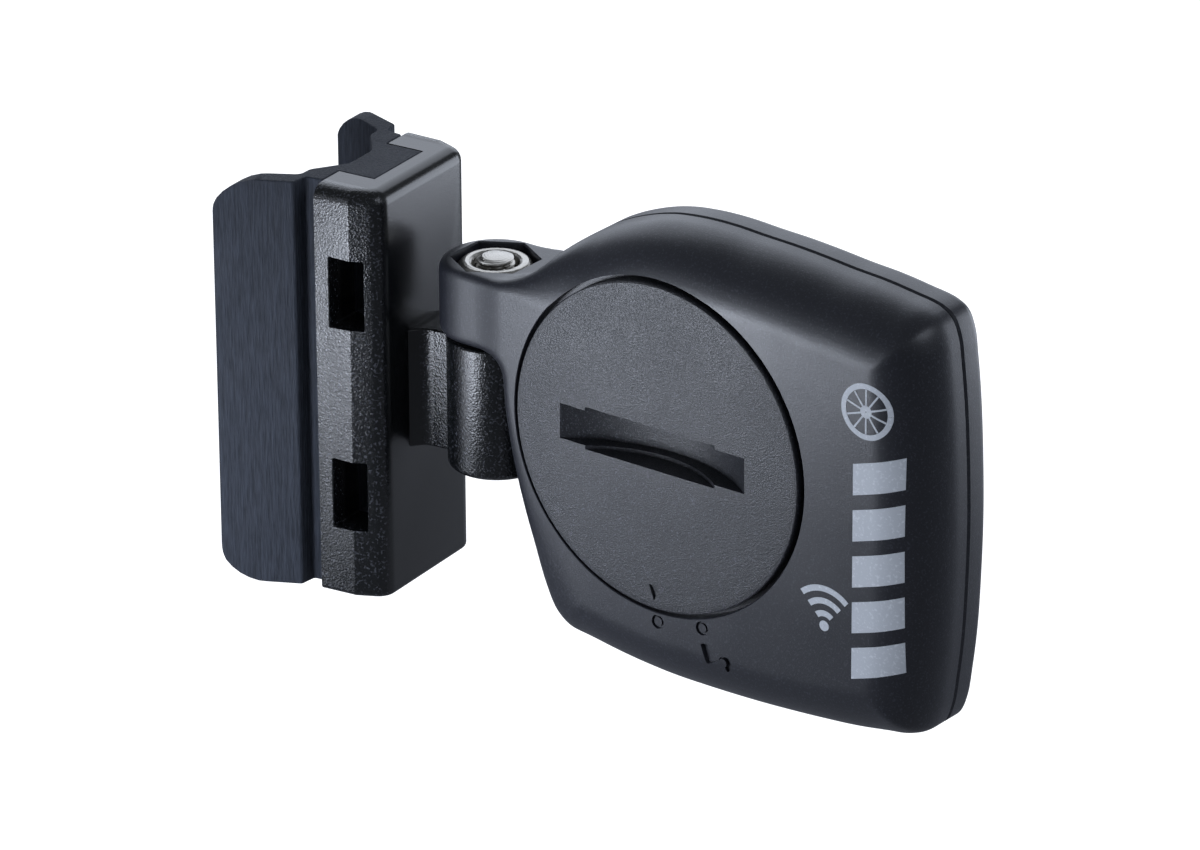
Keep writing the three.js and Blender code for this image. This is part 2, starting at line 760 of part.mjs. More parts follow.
const MATERIALS = {
  bracketPlastic: { color: 0x17181b, roughness: 0.42, metalness: 0 },
  headPlastic: { color: 0x2b2e34, roughness: 0.5, metalness: 0 },
  coverPlastic: { color: 0x303338, roughness: 0.55, metalness: 0 },
  rubber: { color: 0x202531, roughness: 0.75, metalness: 0 },
  sealRubber: { color: 0x101010, roughness: 0.7, metalness: 0 },
  zinc: { color: 0xc9c8c4, roughness: 0.3, metalness: 1 },
  cellSteel: { color: 0xd6d6d4, roughness: 0.22, metalness: 1 },
  contactSteel: { color: 0xb9a77a, roughness: 0.3, metalness: 1 },
  gasketPlastic: { color: 0xd8d4c8, roughness: 0.6, metalness: 0 },
  board: { color: 0x1c5a33, roughness: 0.5, metalness: 0 },
  glass: { color: 0x9fc0a8, roughness: 0.1, metalness: 0 },
  chipPlastic: { color: 0x141414, roughness: 0.6, metalness: 0 },
  ceramic: { color: 0xa9835a, roughness: 0.5, metalness: 0 },
};
const finishes = Object.fromEntries(
  Object.entries(MATERIALS).map(([name, values]) => [name, new THREE.MeshStandardMaterial(values)]),
);

// The head is drawn square to the bracket, then swung a little about the hinge axis.
const group = new THREE.Group();
const swing = new THREE.Group();
swing.position.set(HINGE.x, 0, 0);
swing.rotation.z = HEAD.turn;
const head = new THREE.Group();
head.position.set(-HINGE.x, 0, 0);
swing.add(head);
group.add(swing);

function place(name, shape, finish, parent = head) {
  const mesh = new THREE.Mesh(geometryOf(shape), finishes[finish]);
  mesh.name = name;
  parent.add(mesh);
}

place('bracket_body', bracketBody(), 'bracketPlastic', group);
place('rubber_pad', rubberPad(), 'rubber', group);
place('pivot_screw', pivotScrew(), 'zinc', group);
place('pivot_nut', pivotNut(), 'zinc');
place('front_shell', frontShell(), 'headPlastic');
place('back_cover', backCover(), 'headPlastic');
place('battery_cover', batteryCover(), 'coverPlastic');
place('battery_cover_seal', coverSeal(), 'sealRubber');
place('coin_cell_can', cellCan(), 'cellSteel');
place('coin_cell_cap', cellCap(), 'cellSteel');
place('coin_cell_gasket', cellGasket(), 'gasketPlastic');
place('battery_contact_positive', positiveContact(), 'contactSteel');
place('battery_contact_negative', negativeContact(), 'contactSteel');
place('circuit_board', circuitBoard(), 'board');
boardScrewPlaces().forEach((spot, k) => {
  place(`board_screw_${k === 0 ? 'upper' : 'lower'}`, boardScrew(spot), 'zinc');
});
place('reed_switch_glass', reedGlass(), 'glass');
place('reed_lead_upper', reedLead(1), 'cellSteel');
place('reed_lead_lower', reedLead(-1), 'cellSteel');
place('microcontroller', microcontroller(), 'chipPlastic');
place('radio_crystal', crystal(), 'cellSteel');
place('chip_antenna', chipAntenna(), 'ceramic');
[[48.8, -10.2], [46.6, 0.6], [44.8, -0.6]].forEach(([x, z], k) => {
  place(`capacitor_${k + 1}`, capacitor(x, z), 'ceramic');
});

export default group;
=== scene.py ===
# %% [markdown]
# A wireless wheel sensor of a cycling computer, on its fork bracket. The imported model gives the
# frame: where each piece is, how big it is and which body it moves with. This lesson puts the
# finished surfaces and finishes on that frame, one piece at a time.

# %% Load the frame
import math

import bmesh
import bpy
import numpy as np
from mathutils import Matrix, Vector


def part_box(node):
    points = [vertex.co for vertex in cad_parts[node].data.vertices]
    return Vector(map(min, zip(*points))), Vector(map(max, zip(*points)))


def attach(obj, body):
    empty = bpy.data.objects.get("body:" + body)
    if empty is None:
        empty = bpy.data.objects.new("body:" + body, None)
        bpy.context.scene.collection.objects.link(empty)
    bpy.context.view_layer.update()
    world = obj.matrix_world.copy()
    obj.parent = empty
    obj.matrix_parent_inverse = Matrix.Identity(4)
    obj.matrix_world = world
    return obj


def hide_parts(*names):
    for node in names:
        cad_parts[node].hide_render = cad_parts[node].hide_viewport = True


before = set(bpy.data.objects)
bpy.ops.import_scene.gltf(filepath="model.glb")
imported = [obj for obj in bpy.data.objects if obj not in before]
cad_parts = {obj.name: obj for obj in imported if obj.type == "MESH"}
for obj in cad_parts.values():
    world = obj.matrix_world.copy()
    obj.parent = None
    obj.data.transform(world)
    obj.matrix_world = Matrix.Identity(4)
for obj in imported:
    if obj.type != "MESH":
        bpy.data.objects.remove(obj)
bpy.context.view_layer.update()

# %% [markdown]
# Shapes are worked out in millimetres, because the parts of such a sensor are drawn in
# millimetres, and the mesh is scaled to metres as it is made. The head is drawn square to the
# bracket, then swung a little about the hinge axis, as its nodes are in the frame.

# %% Units and the head's swing
MM = 0.001
HINGE_X = 12.0
HEAD_SWING = math.radians(-5.7)


def swung(points):
    """Turns points of the square head about the hinge axis: a plane rotation of x and y."""
    points = np.asarray(points, float)
    c, s = math.cos(HEAD_SWING), math.sin(HEAD_SWING)
    x, y = points[..., 0] - HINGE_X, points[..., 1]
    return np.stack([x * c - y * s + HINGE_X, x * s + y * c, points[..., 2]], -1)


def swing_mesh(target):
    """Turns a finished mesh with the head: to the hinge axis, round it, and back again."""
    there, back_again = (Matrix.Translation((x * MM, 0, 0)) for x in (HINGE_X, -HINGE_X))
    target.data.transform(there @ Matrix.Rotation(HEAD_SWING, 4, "Z") @ back_again)


hinge_low, hinge_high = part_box("pivot_screw")
print("hinge axis at x =", round((hinge_low.x + hinge_high.x) / 2 / MM, 3), "mm")

# %% [markdown]
# The camera comes first, so that every piece is judged from the same place. A long lens from
# about half a metre keeps the small part's upright edges nearly parallel.

# %% Camera
TARGET = np.array([21.22, 0.0, -0.75])
AZIMUTH, ELEVATION, ROLL = map(math.radians, (32.04, 23.61, -0.33))
DISTANCE = 569.83
LENS = 226.3

toward = np.array([
    math.sin(AZIMUTH) * math.cos(ELEVATION),
    -math.cos(AZIMUTH) * math.cos(ELEVATION),
    math.sin(ELEVATION),
])
level = np.array([math.cos(AZIMUTH), math.sin(AZIMUTH), 0.0])
upright = np.cross(toward, level)
right = math.cos(ROLL) * level + math.sin(ROLL) * upright
up = -math.sin(ROLL) * level + math.cos(ROLL) * upright
place = Matrix.Identity(4)
for row in range(3):
    place[row][:3] = (right[row], up[row], toward[row])
    place[row][3] = (TARGET + toward * DISTANCE)[row] * MM
camera = bpy.data.objects.new("camera", bpy.data.cameras.new("camera"))
bpy.context.scene.collection.objects.link(camera)
camera.matrix_world = place
camera.data.lens = LENS
camera.data.sensor_width = 36.0
camera.data.clip_start, camera.data.clip_end = 0.01, 20.0
bpy.context.scene.camera = camera
print("camera", round(DISTANCE), "mm away with a", LENS, "mm lens")

# %% [markdown]
# Almost every surface here is a grid of points: rings one after another, with quads between
# neighbours. One helper numbers the quads, and another closes a stack of rings into a body.


# %% Grids and rings
def grid_quads(rows, columns, wrap_rows=False):
    """Quads between neighbouring points of a grid numbered row by row; columns always wrap."""
    r = np.arange(rows if wrap_rows else rows - 1)[:, None]
    c = np.arange(columns)[None, :]
    below, beside = (r + 1) % rows, (c + 1) % columns
    corners = [r * columns + c, r * columns + beside, below * columns + beside, below * columns + c]
    return np.stack(np.broadcast_arrays(*corners), -1).reshape(-1, 4)


def piece(name, points, faces, turn_head=False):
    """Makes a closed body in metres, with merged doubles and faces that look outwards."""
    points = swung(points) if turn_head else np.asarray(points, float)
    mesh = bpy.data.meshes.new(name)
    mesh.from_pydata((points * MM).tolist(), [], faces)
    work = bmesh.new()
    work.from_mesh(mesh)
    bmesh.ops.remove_doubles(work, verts=work.verts, dist=1e-7)
    bmesh.ops.recalc_face_normals(work, faces=work.faces)
    work.to_mesh(mesh)
    work.free()
    made = bpy.data.objects.new(name, mesh)
    bpy.context.scene.collection.objects.link(made)
    return made


def skinned(name, rings, turn_head=False, wrap=False):
    """Skins a (ring, point, xyz) grid. Open stacks are closed by a flat face at each end."""
    count, size = rings.shape[:2]
    faces = grid_quads(count, size, wrap).tolist()
    if not wrap:
        faces.append(list(range(size)))
        faces.append(list(range((count - 1) * size, count * size)))
    return piece(name, rings.reshape(-1, 3), faces, turn_head)


def turned(name, profile, centre, axis, segments=128, wrap=False, turn_head=False):
    """A profile of (radius, height) rows carried round a line: circles stacked along axis."""
    profile = np.asarray(profile, float)
    angle = np.linspace(0, 2 * np.pi, segments, endpoint=False)
    across, along = profile[:, :1], np.repeat(profile[:, 1:], segments, 1)
    first, second = across * np.cos(angle), across * np.sin(angle)
    if axis == "y":
        rings = np.stack([centre[0] + first, along, centre[1] + second], -1)
    else:
        rings = np.stack([centre[0] + first, centre[1] + second, along], -1)
    return skinned(name, rings, turn_head, wrap)


print("a ring of 8 points has", len(grid_quads(2, 8)), "quads to the next")

# %% [markdown]
# Moulded parts have a radius on every corner. The plan of a part is written as a sharp polygon
# with a radius for each corner, and this helper can draw the same plan a little smaller, which
# is how an edge is rounded: each ring up the fillet is the plan drawn in by a bit more.


# %% Rounded plans
LEAST_RADIUS, END_BORDER = 0.02, 0.12


def rounded_plan(corners, radii, inset=0.0, steps=8):
    """A polygon, drawn in by inset, whose corners are arcs.

    Each side moves inwards by the inset and meets its neighbours again. An arc of radius r
    replaces a corner: it starts r / tan(half the corner's angle) along each side. A convex
    radius loses the inset and a hollow one gains it, so the rings stay parallel."""
    corners = np.asarray(corners, float)
    after = np.roll(corners, -1, 0)
    area = np.sum(corners[:, 0] * after[:, 1] - after[:, 0] * corners[:, 1])
    side = (after - corners) / np.linalg.norm(after - corners, axis=1)[:, None]
    inward = np.stack([-side[:, 1], side[:, 0]], -1) * np.sign(area)
    before_side, before_in = np.roll(side, 1, 0), np.roll(inward, 1, 0)
    cross = before_side[:, 0] * side[:, 1] - before_side[:, 1] * side[:, 0]
    bisector = before_in + inward
    moved = corners + bisector * (inset / (1 + np.sum(before_in * inward, 1)))[:, None]
    hollow = cross * np.sign(area) < 0
    radius = np.where(hollow, np.asarray(radii) + inset, np.asarray(radii) - inset)
    radius = np.maximum(radius, LEAST_RADIUS)
    half_turn = np.arccos(np.clip(np.sum(before_side * side, 1), -1, 1)) / 2
    reach = radius * np.tan(half_turn)
    start = moved - before_side * reach[:, None]
    share = np.linspace(0, 1, steps + 1)[None, :]
    turn = 2 * half_turn[:, None] * share * np.sign(cross)[:, None]
    spoke = start - (start + np.where(hollow, -1, 1)[:, None] * before_in * radius[:, None])
    centre = start - spoke
    c, s = np.cos(turn), np.sin(turn)
    arc = np.stack([
        spoke[:, None, 0] * c - spoke[:, None, 1] * s,
        spoke[:, None, 0] * s + spoke[:, None, 1] * c,
    ], -1) + centre[:, None]
    return arc.reshape(-1, 2)


def standing(line, y):
    """A flat line of (x, z) points, stood up in space at depth y."""
    return np.column_stack([line[:, 0], np.full(len(line), y), line[:, 1]])


def plan_prism(name, corners, radii, low, high, fillet_low, fillet_high, steps=6, along="z"):
    """A rounded plan carried along z (or y) whose end edges are quarter circles.

    On the way round a fillet of radius f, at angle a, the plan is drawn in by f (1 - cos a)
    and stands f (1 - sin a) short of the end."""
    angle = np.linspace(0, np.pi / 2, steps + 1)
    inset = np.concatenate([
        [fillet_low + END_BORDER],
        fillet_low * (1 - np.cos(angle[::-1])),
        fillet_high * (1 - np.cos(angle)),
        [fillet_high + END_BORDER],
    ])
    height = np.concatenate([
        [low],
        low + fillet_low * (1 - np.sin(angle[::-1])),
        high - fillet_high * (1 - np.sin(angle)),
        [high],
    ])
    plans = [rounded_plan(corners, radii, amount) for amount in inset]
    rings = np.stack([
        np.column_stack([plan[:, 0], plan[:, 1], np.full(len(plan), z)])
        for plan, z in zip(plans, height)
    ])
    if along == "y":
        rings = rings[..., [0, 2, 1]]
    return skinned(name, rings)


square = rounded_plan([(0, 0), (2, 0), (2, 2), (0, 2)], [0.5] * 4)
print("rounded square:", len(square), "points, from", square.min(0), "to", square.max(0))

# %% [markdown]
# Slots, bores and recesses are cut with tools, as in a workshop. The cut is worked out once and
# kept in the mesh, so nothing is left to compute later. Edges sharper than a given angle stay
# crisp, and all others are shaded smooth.


# %% Cutting and joining
def combined(target, tool, how="DIFFERENCE"):
    """Cuts target with tool, or joins them, and keeps the result as target's own mesh."""
    step = target.modifiers.new("combine", "BOOLEAN")
    step.operation, step.object, step.solver = how, tool, "MANIFOLD"
    bpy.context.view_layer.update()
    shape = target.evaluated_get(bpy.context.evaluated_depsgraph_get())
    result = bpy.data.meshes.new_from_object(shape)
    target.modifiers.clear()
    old, target.data = target.data, result
    bpy.data.meshes.remove(old)
    bpy.data.objects.remove(tool)
    return target


def smoothed(target, crisp_degrees=32):
    """Smooth shading, except across edges sharper than the given angle."""
    target.data.polygons.foreach_set("use_smooth", np.ones(len(target.data.polygons), bool))
    target.data.set_sharp_from_angle(angle=math.radians(crisp_degrees))
    return target


def open_edges(target):
    """How many edges don't have exactly two faces; a closed body has none."""
    work = bmesh.new()
    work.from_mesh(target.data)
    loose = sum(not edge.is_manifold for edge in work.edges)
    work.free()
    return loose


def block(name, low, high):
    """A plain box between two corners, used as a cutting tool."""
    low, high = np.asarray(low, float), np.asarray(high, float)
    pick = np.array([[0, 0], [1, 0], [1, 1], [0, 1]])
    rings = np.stack([
        np.column_stack([
            np.where(pick[:, 0], high[0], low[0]), np.where(pick[:, 1], high[1], low[1]), [z] * 4,
        ])
        for z in (low[2], high[2])
    ])
    return skinned(name, rings)


def dressed(target, node_names, body, crisp_degrees=32):
    """Finishes a piece: shading, the body it rides on, the nodes it stands for."""
    smoothed(target, crisp_degrees)
    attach(target, body)
    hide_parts(*node_names)
    triangles = sum(len(face.vertices) - 2 for face in target.data.polygons)
    print(f"{target.name}: {triangles} triangles, {open_edges(target)} open edges")
    return target


print("helpers ready")

# %% [markdown]
# The fork bracket is one moulding of glass-filled nylon: a channel with rounded corners, a thin
# web and a round lug. The channel's plan runs along the fork, with a fillet of 1.1 mm round its
# top end and 0.4 mm round its foot. The two cable tie slots go through from side to side, and
# their mouths flare where a tie leaves the outer face.

# %% Bracket channel, web and lug
BRACKET_HALF, WALL_FOOT, FLOOR_X, CHANNEL_HALF = 16.7, 0.2, 3.4, 3.38


def mirrored(half, radii):
    """The half plan at positive y, then the same points at negative y in the other order."""
    return half + [(x, -y) for x, y in half[::-1]], radii + radii[::-1]


bracket = plan_prism(
    "fork_bracket", *mirrored([(-3.0, 7.05), (3.2, 6.8), (5.6, 5.8)], [0.1, 0.3, 1.5]),
    -BRACKET_HALF, BRACKET_HALF, 0.4, 1.1,
)
combined(bracket, block("fork_side", (-9, -9, -20), (WALL_FOOT, 9, 20)))
combined(bracket, block("channel", (-9, -CHANNEL_HALF, -20), (FLOOR_X, CHANNEL_HALF, 20)))
web_half = [(5.0, 2.5), (5.62, 2.5), (6.6, 1.45), (HINGE_X, 1.45)]
web = plan_prism("web", *mirrored(web_half, [0.05, 0.05, 1.6, 0.05]), -5.2, 4.5, 0.15, 0.15)
LUG_RADIUS, LUG_LOW, LUG_HIGH = 3.83, -5.95, 4.75
quarter = np.linspace(0, np.pi / 2, 7)


def filleted_bar(radius, low, high, fillet_low, fillet_high):
    """Profile of a round bar whose two end edges are quarter circles."""
    foot = np.column_stack([
        radius - fillet_low * (1 - np.sin(quarter)), low + fillet_low * (1 - np.cos(quarter)),
    ])
    head = np.column_stack([
        radius - fillet_high * (1 - np.cos(quarter)), high - fillet_high * (1 - np.sin(quarter)),
    ])
    return np.vstack([[radius * 0.5, low], foot, head, [radius * 0.5, high]])


lug = turned("lug", filleted_bar(LUG_RADIUS, LUG_LOW, LUG_HIGH, 0.55, 0.2), (HINGE_X, 0), "z")
combined(bracket, web, "UNION")
combined(bracket, lug, "UNION")
bore = turned("bore", [(1.6, LUG_LOW - 1), (1.6, LUG_HIGH + 1)], (HINGE_X, 0), "z")
seat_profile = [(3.15, LUG_LOW - 0.1), (3.0, LUG_LOW + 0.1), (3.0, LUG_LOW + 2.5)]
seat = turned("seat", seat_profile, (HINGE_X, 0), "z")
combined(bracket, bore)
combined(bracket, seat)
SLOT_X, SLOT_HALF, SLOT_Z = (1.4, 4.25), 2.85, 8.3
SLOT_MOUTH, SLOT_FLARE, SLOT_RADIUS = 6.8, 2.2, 0.12
flare = [(SLOT_MOUTH + SLOT_FLARE, -SLOT_FLARE), (SLOT_MOUTH, 0.0)]
flare += [(-y, inset) for y, inset in flare[::-1]]
for middle in (-SLOT_Z, SLOT_Z):
    corners = [(SLOT_X[0], middle - SLOT_HALF), (SLOT_X[1], middle - SLOT_HALF),
               (SLOT_X[1], middle + SLOT_HALF), (SLOT_X[0], middle + SLOT_HALF)]
    rings = [standing(rounded_plan(corners, [SLOT_RADIUS] * 4, inset), y) for y, inset in flare]
    combined(bracket, skinned("slot", np.stack(rings)))
dressed(bracket, ["bracket_body"], "bracket")

# %% [markdown]
# The rubber cradle is a block that fills the channel and two wings that hug the fork. Its plan
# is carried along the fork too. The wings' tips are rounded in the side view by keeping only
# what lies inside a rounded plate.

# %% Rubber cradle
pad_half = [
    (FLOOR_X - 0.08, CHANNEL_HALF - 0.08), (0.08, CHANNEL_HALF - 0.08), (0.08, 5.5), (-1.35, 5.6),
    (-1.56, 7.0), (-7.9, 9.6), (-7.45, 7.65), (-4.9, 6.75), (-2.05, 5.35), (-2.0, 4.1), (-0.1, 1.55),
]
pad_radii = [0.1, 0.05, 0.3, 0.2, 0.35, 0.5, 0.55, 1.5, 0.7, 1.0, 0.8]
pad = plan_prism("fork_pad", *mirrored(pad_half, pad_radii), -BRACKET_HALF, BRACKET_HALF, 0.12, 0.12)
TIP_X, TIP_RADIUS = -7.7, 3.7
side_view = [(TIP_X, -BRACKET_HALF), (6, -BRACKET_HALF), (6, BRACKET_HALF), (TIP_X, BRACKET_HALF)]
side_plate = plan_prism(
    "side_plate", side_view, [TIP_RADIUS, 0.1, 0.1, TIP_RADIUS], -12, 12, 0.01, 0.01, along="y",
)
combined(pad, side_plate, "INTERSECT")
for middle in (-SLOT_Z, SLOT_Z):
    combined(pad, block("slot", (1.3, -9, middle - 2.95), (SLOT_X[1], 9, middle + 2.95)))
dressed(pad, ["rubber_pad"], "bracket")

# %% [markdown]
# The head's outline is a smooth closed line: a nearly straight left side beside the hinge, a
# rising diagonal above it, and long shallow arcs for the top, the right side and the bottom.
# It is a spline through points, and everything on the head is measured from it.

# %% Outline of the head
COVER_X, COVER_Z = 30.5, 1.6
outline_knots = np.array([
    (15.6, 3.5), (15.7, 6.8), (16.2, 9.7), (17.7, 11.75), (19.6, 13.8), (22.28, 15.78),
    (25.11, 17.11), (27.91, 17.95), (30.7, 18.3), (33.5, 18.36), (36.2, 18.21), (38.95, 18.09),
    (41.67, 17.88), (44.4, 17.6), (47.1, 17.4), (49.8, 17.04), (52.0, 16.65), (53.1, 16.0),
    (53.75, 14.6), (54.05, 12.6), (54.4, 9.14), (54.65, 4.5), (54.75, 0.0), (54.65, -4.5),
    (54.4, -9.14), (54.0, -12.6), (53.6, -15.0), (52.95, -16.5), (51.8, -17.1), (50.1, -17.38),
    (47.3, -17.8), (44.6, -18.05), (41.8, -18.25), (39.0, -18.4), (36.2, -18.48), (33.4, -18.5),
    (30.5, -18.46), (27.7, -18.25), (24.9, -17.9), (22.3, -17.4), (20.65, -16.7), (19.5, -15.3),
    (18.7, -13.0), (17.98, -10.0), (17.0, -5.9), (16.2, -1.9), (15.75, 1.0),
])


def closed_spline(knots, per_span=10):
    """Centripetal Catmull-Rom line through closed knots, worked out for all spans at once."""
    p0, p1, p2, p3 = (np.roll(knots, k, 0)[:, None] for k in (1, 0, -1, -2))
    gap = [
        np.linalg.norm(b - a, axis=-1, keepdims=True) ** 0.5
        for a, b in ((p0, p1), (p1, p2), (p2, p3))
    ]
    t = np.linspace(0, 1, per_span, endpoint=False)[None, :, None] * gap[1]
    a1 = p0 * (-t) / gap[0] + p1 * (t + gap[0]) / gap[0]
    a2 = p1 * (gap[1] - t) / gap[1] + p2 * t / gap[1]
    a3 = p2 * (gap[1] + gap[2] - t) / gap[2] + p3 * (t - gap[1]) / gap[2]
    b1 = a1 * (gap[1] - t) / (gap[0] + gap[1]) + a2 * (t + gap[0]) / (gap[0] + gap[1])
    b2 = a2 * (gap[1] + gap[2] - t) / (gap[1] + gap[2]) + a3 * t / (gap[1] + gap[2])
    return (b1 * (gap[1] - t) / gap[1] + b2 * t / gap[1]).reshape(-1, 2)


outline = closed_spline(outline_knots)
print("outline:", len(outline), "points,", outline.min(0), "to", outline.max(0))


def outline_distance(x, z):
    """Distance from points to the outline, below zero inside it.

    For each point, the nearest place on every outline segment is found at once; a point is
    inside if a line from it crosses the outline an odd number of times."""
    start, end = outline, np.roll(outline, -1, 0)
    run = end - start
    flat = np.column_stack([x.ravel(), z.ravel()])
    distance, crossings = np.full(len(flat), 1e9), np.zeros(len(flat), int)
    for part in np.array_split(np.arange(len(flat)), max(1, len(flat) // 4000)):
        gap = flat[part][:, None] - start
        share = np.clip((gap * run).sum(-1) / (run * run).sum(-1), 0, 1)
        distance[part] = np.sqrt((((gap - share[..., None] * run) ** 2).sum(-1)).min(-1))
        over = (start[:, 1] > flat[part][:, 1:]) != (end[:, 1] > flat[part][:, 1:])
        reach = start[:, 0] + run[:, 0] * (flat[part][:, 1:] - start[:, 1]) / np.where(
            run[:, 1] == 0, 1e-12, run[:, 1])
        crossings[part] = (over & (flat[part][:, :1] < reach)).sum(-1)
    return (distance * np.where(crossings % 2, -1, 1)).reshape(x.shape)


# %% [markdown]
# The front shell is a dome whose edge radius grows from almost nothing beside the hinge to
# several millimetres elsewhere, and the arm flows into it. Radii that change along an edge and
# blends between bodies are hard to get from rings, so the shell's outside is written as a
# distance field instead: a number at each grid point, negative inside. The surface is then
# found where the number is zero, with one vertex in each cell that the surface passes.


# %% Distance field of the shell's outside
FRONT_Y, SEAM_Y, BACK_Y = -4.2, 1.4, 4.0
ARM_LOW, ARM_HIGH, ARM_HALF, KNUCKLE_RADIUS = 5.0, 11.0, 4.2, 4.3
ARM_X, ARM_REACH, TOP_EDGE, FIELD_SPLIT = 14.0, 8.0, 0.35, 14.5
STEP = 0.22


def ramp(value, low, high):
    """Smooth step: zero below low, one above high, and level at both ends."""
    t = np.clip((value - low) / (high - low), 0, 1)
    return t * t * (3 - 2 * t)


def blended(a, b, width):
    """Union of two distance fields, with a fillet about width wide where they meet."""
    share = np.clip(0.5 + 0.5 * (b - a) / width, 0, 1)
    return b * (1 - share) + a * share - width * share * (1 - share)


def edge_radius(x):
    """Radius of the dome's edge: crisp beside the hinge, full beyond it."""
    return 0.7 + 3.8 * ramp(x, 15.5, 23.5)


def rounded_corner(across, depth, radius):
    """Distance to a corner of two faces, across and depth outside them, rounded by radius."""
    a, d = across + radius, depth + radius
    return np.hypot(np.maximum(a, 0), np.maximum(d, 0)) - radius + np.minimum(np.maximum(a, d), 0)


axes = [np.arange(7.0, 55.6, STEP), np.arange(-4.9, 5.0, STEP), np.arange(-19.4, 19.4, STEP)]
flat_x, flat_z = np.meshgrid(axes[0], axes[2], indexing="ij")
head_side = outline_distance(flat_x, flat_z)
arm_middle, arm_reach = (ARM_LOW + ARM_HIGH) / 2, (ARM_HIGH - ARM_LOW) / 2
arm_side = rounded_corner(
    np.abs(flat_x - ARM_X) - ARM_REACH, np.abs(flat_z - arm_middle) - arm_reach, LEAST_RADIUS)
x, y, z = np.meshgrid(*axes, indexing="ij")
side = blended(head_side[:, None, :], arm_side[:, None, :], 0.4 + 2.0 * ramp(-y, -0.5, 3.5))
front = rounded_corner(side, FRONT_Y - y, edge_radius(x))
knuckle_side, flat_side = np.hypot(x - HINGE_X, y) - KNUCKLE_RADIUS, np.abs(y) - ARM_HALF - 0.1
around = np.where(x < HINGE_X, knuckle_side, flat_side)
field = -blended(-front, -around, 0.02 + 0.9 * ramp(-x, -16.4, -13.0))
top_edge = rounded_corner(around, z - ARM_HIGH, TOP_EDGE)
field = np.where(x < FIELD_SPLIT, np.maximum(field, top_edge), field)
print("field:", field.shape, "points")


# %% Surface of a distance field
def surface_of(field, axes):
    """One vertex in each cell that the surface passes, and a quad across each crossed edge.

    Along every grid edge whose ends differ in sign, the crossing is found by straight-line
    share. A cell's vertex is the mean of the crossings on its edges."""
    shape = np.array(field.shape)
    origin, step = np.array([axis[0] for axis in axes]), axes[0][1] - axes[0][0]
    total = np.zeros((field.size, 4))
    loops = []
    for axis in range(3):
        near = np.moveaxis(field, axis, 0)[:-1]
        far = np.moveaxis(field, axis, 0)[1:]
        spot = np.array(np.nonzero((near < 0) != (far < 0)))
        low, high = near[tuple(spot)], far[tuple(spot)]
        order = [axis] + [k for k in range(3) if k != axis]
        place = np.empty_like(spot)
        place[order] = spot
        crossing = place.astype(float)
        crossing[axis] += low / (low - high)
        others = order[1:]
        cells = []
        for a, b in ((0, 0), (1, 0), (1, 1), (0, 1)):
            cell = place.copy()
            cell[others[0]] -= a
            cell[others[1]] -= b
            flat = np.ravel_multi_index(cell, shape)
            cells.append(flat)
            for k in range(3):
                total[:, k] += np.bincount(flat, crossing[k], field.size)
            total[:, 3] += np.bincount(flat, minlength=field.size)
        loops.append(np.stack(cells, -1))
    used, index = np.unique(np.concatenate(loops), return_inverse=True)
    points = total[used, :3] / total[used, 3:] * step + origin
    return points, index.reshape(-1, 4)


shell_points, shell_quads = surface_of(field, axes)
print("shell surface:", len(shell_points), "points,", len(shell_quads), "quads")

# %% [markdown]
# The raw dome is then cut as the real shell is shaped: the seam towards the back cover, the
# stepped battery bay, the hollow, the nut's pocket, and the small engraved marks. The two dots
# show where the cover is locked and open, and the little padlock explains the second one.

# %% Front shell
SEAM_GAP = 0.12
shell = piece("front_shell_moulding", shell_points, shell_quads.tolist())


def drawn_in(points, inset):
    """A closed line moved inwards along its normals."""
    after = np.roll(points, -1, 0)
    tangent = after - np.roll(points, 1, 0)
    length = np.linalg.norm(tangent, axis=1)[:, None]
    normal = np.stack([-tangent[:, 1], tangent[:, 0]], -1) / length
    area = np.sum(points[:, 0] * after[:, 1] - after[:, 0] * points[:, 1])
    return points + normal * np.sign(area) * inset


def outline_rings(insets, heights):
    """Rings of the head's outline, one for each inset and height."""
    return np.stack([standing(drawn_in(outline, inset), y) for inset, y in zip(insets, heights)])


def engraved(name, points, low, high, draft=0.0):
    """A closed line in the head's plane carried from y low to y high, as an engraving tool.

    With a draft, the tool's far end is drawn in by it, so that the cut has sloping walls."""
    points = np.asarray(points, float)
    ends = ((-draft, low), (draft, high))
    return skinned(name, np.stack([standing(drawn_in(points, by), y) for by, y in ends]))


behind = block("behind", (5, SEAM_Y - SEAM_GAP, -25), (60, 12, 25))
combined(behind, block("arm_space", (0, -20, ARM_LOW - 0.2), (17.6, 20, ARM_HIGH + 2.5)))
combined(shell, behind)
lug_space = turned("lug_space", [(4.2, -30), (4.2, ARM_LOW)], (HINGE_X, 0), "z", 96)
combined(shell, lug_space)
WALL = 1.4
hollow = skinned("hollow", outline_rings([WALL + 2.2, WALL + 0.8, WALL, WALL],
                                         [-2.8, -1.9, -0.2, 6.0]))
bay_wall = turned("bay_wall", [(14.4, -8), (14.4, -2.2), (13.7, -2.2), (13.7, -0.2),
                               (11.3, -0.2), (11.3, 2.6), (5.0, 2.6)], (COVER_X, COVER_Z), "y")
combined(hollow, bay_wall)
combined(hollow, block("arm_root", (5, -20, ARM_LOW - 1), (17.4, 20, 20)))
combined(shell, hollow)
CHAMFER = 0.06
bay = turned("bay", [
    (13.47 + CHAMFER + 0.1, FRONT_Y - 0.1), (13.47, FRONT_Y + CHAMFER), (13.47, -3.1),
    (12.75, -3.1), (12.75, -1.0), (10.3, -1.0), (10.3, 8.0),
], (COVER_X, COVER_Z), "y", 256)
combined(shell, bay)
combined(shell, block("contact_window", (39.8, 0.2, -1.4), (43.3, 8, 7.6)))
screw_bore = turned("screw_bore", [(1.6, 0), (1.6, 9)], (HINGE_X, 0), "z", 64)
combined(shell, screw_bore)
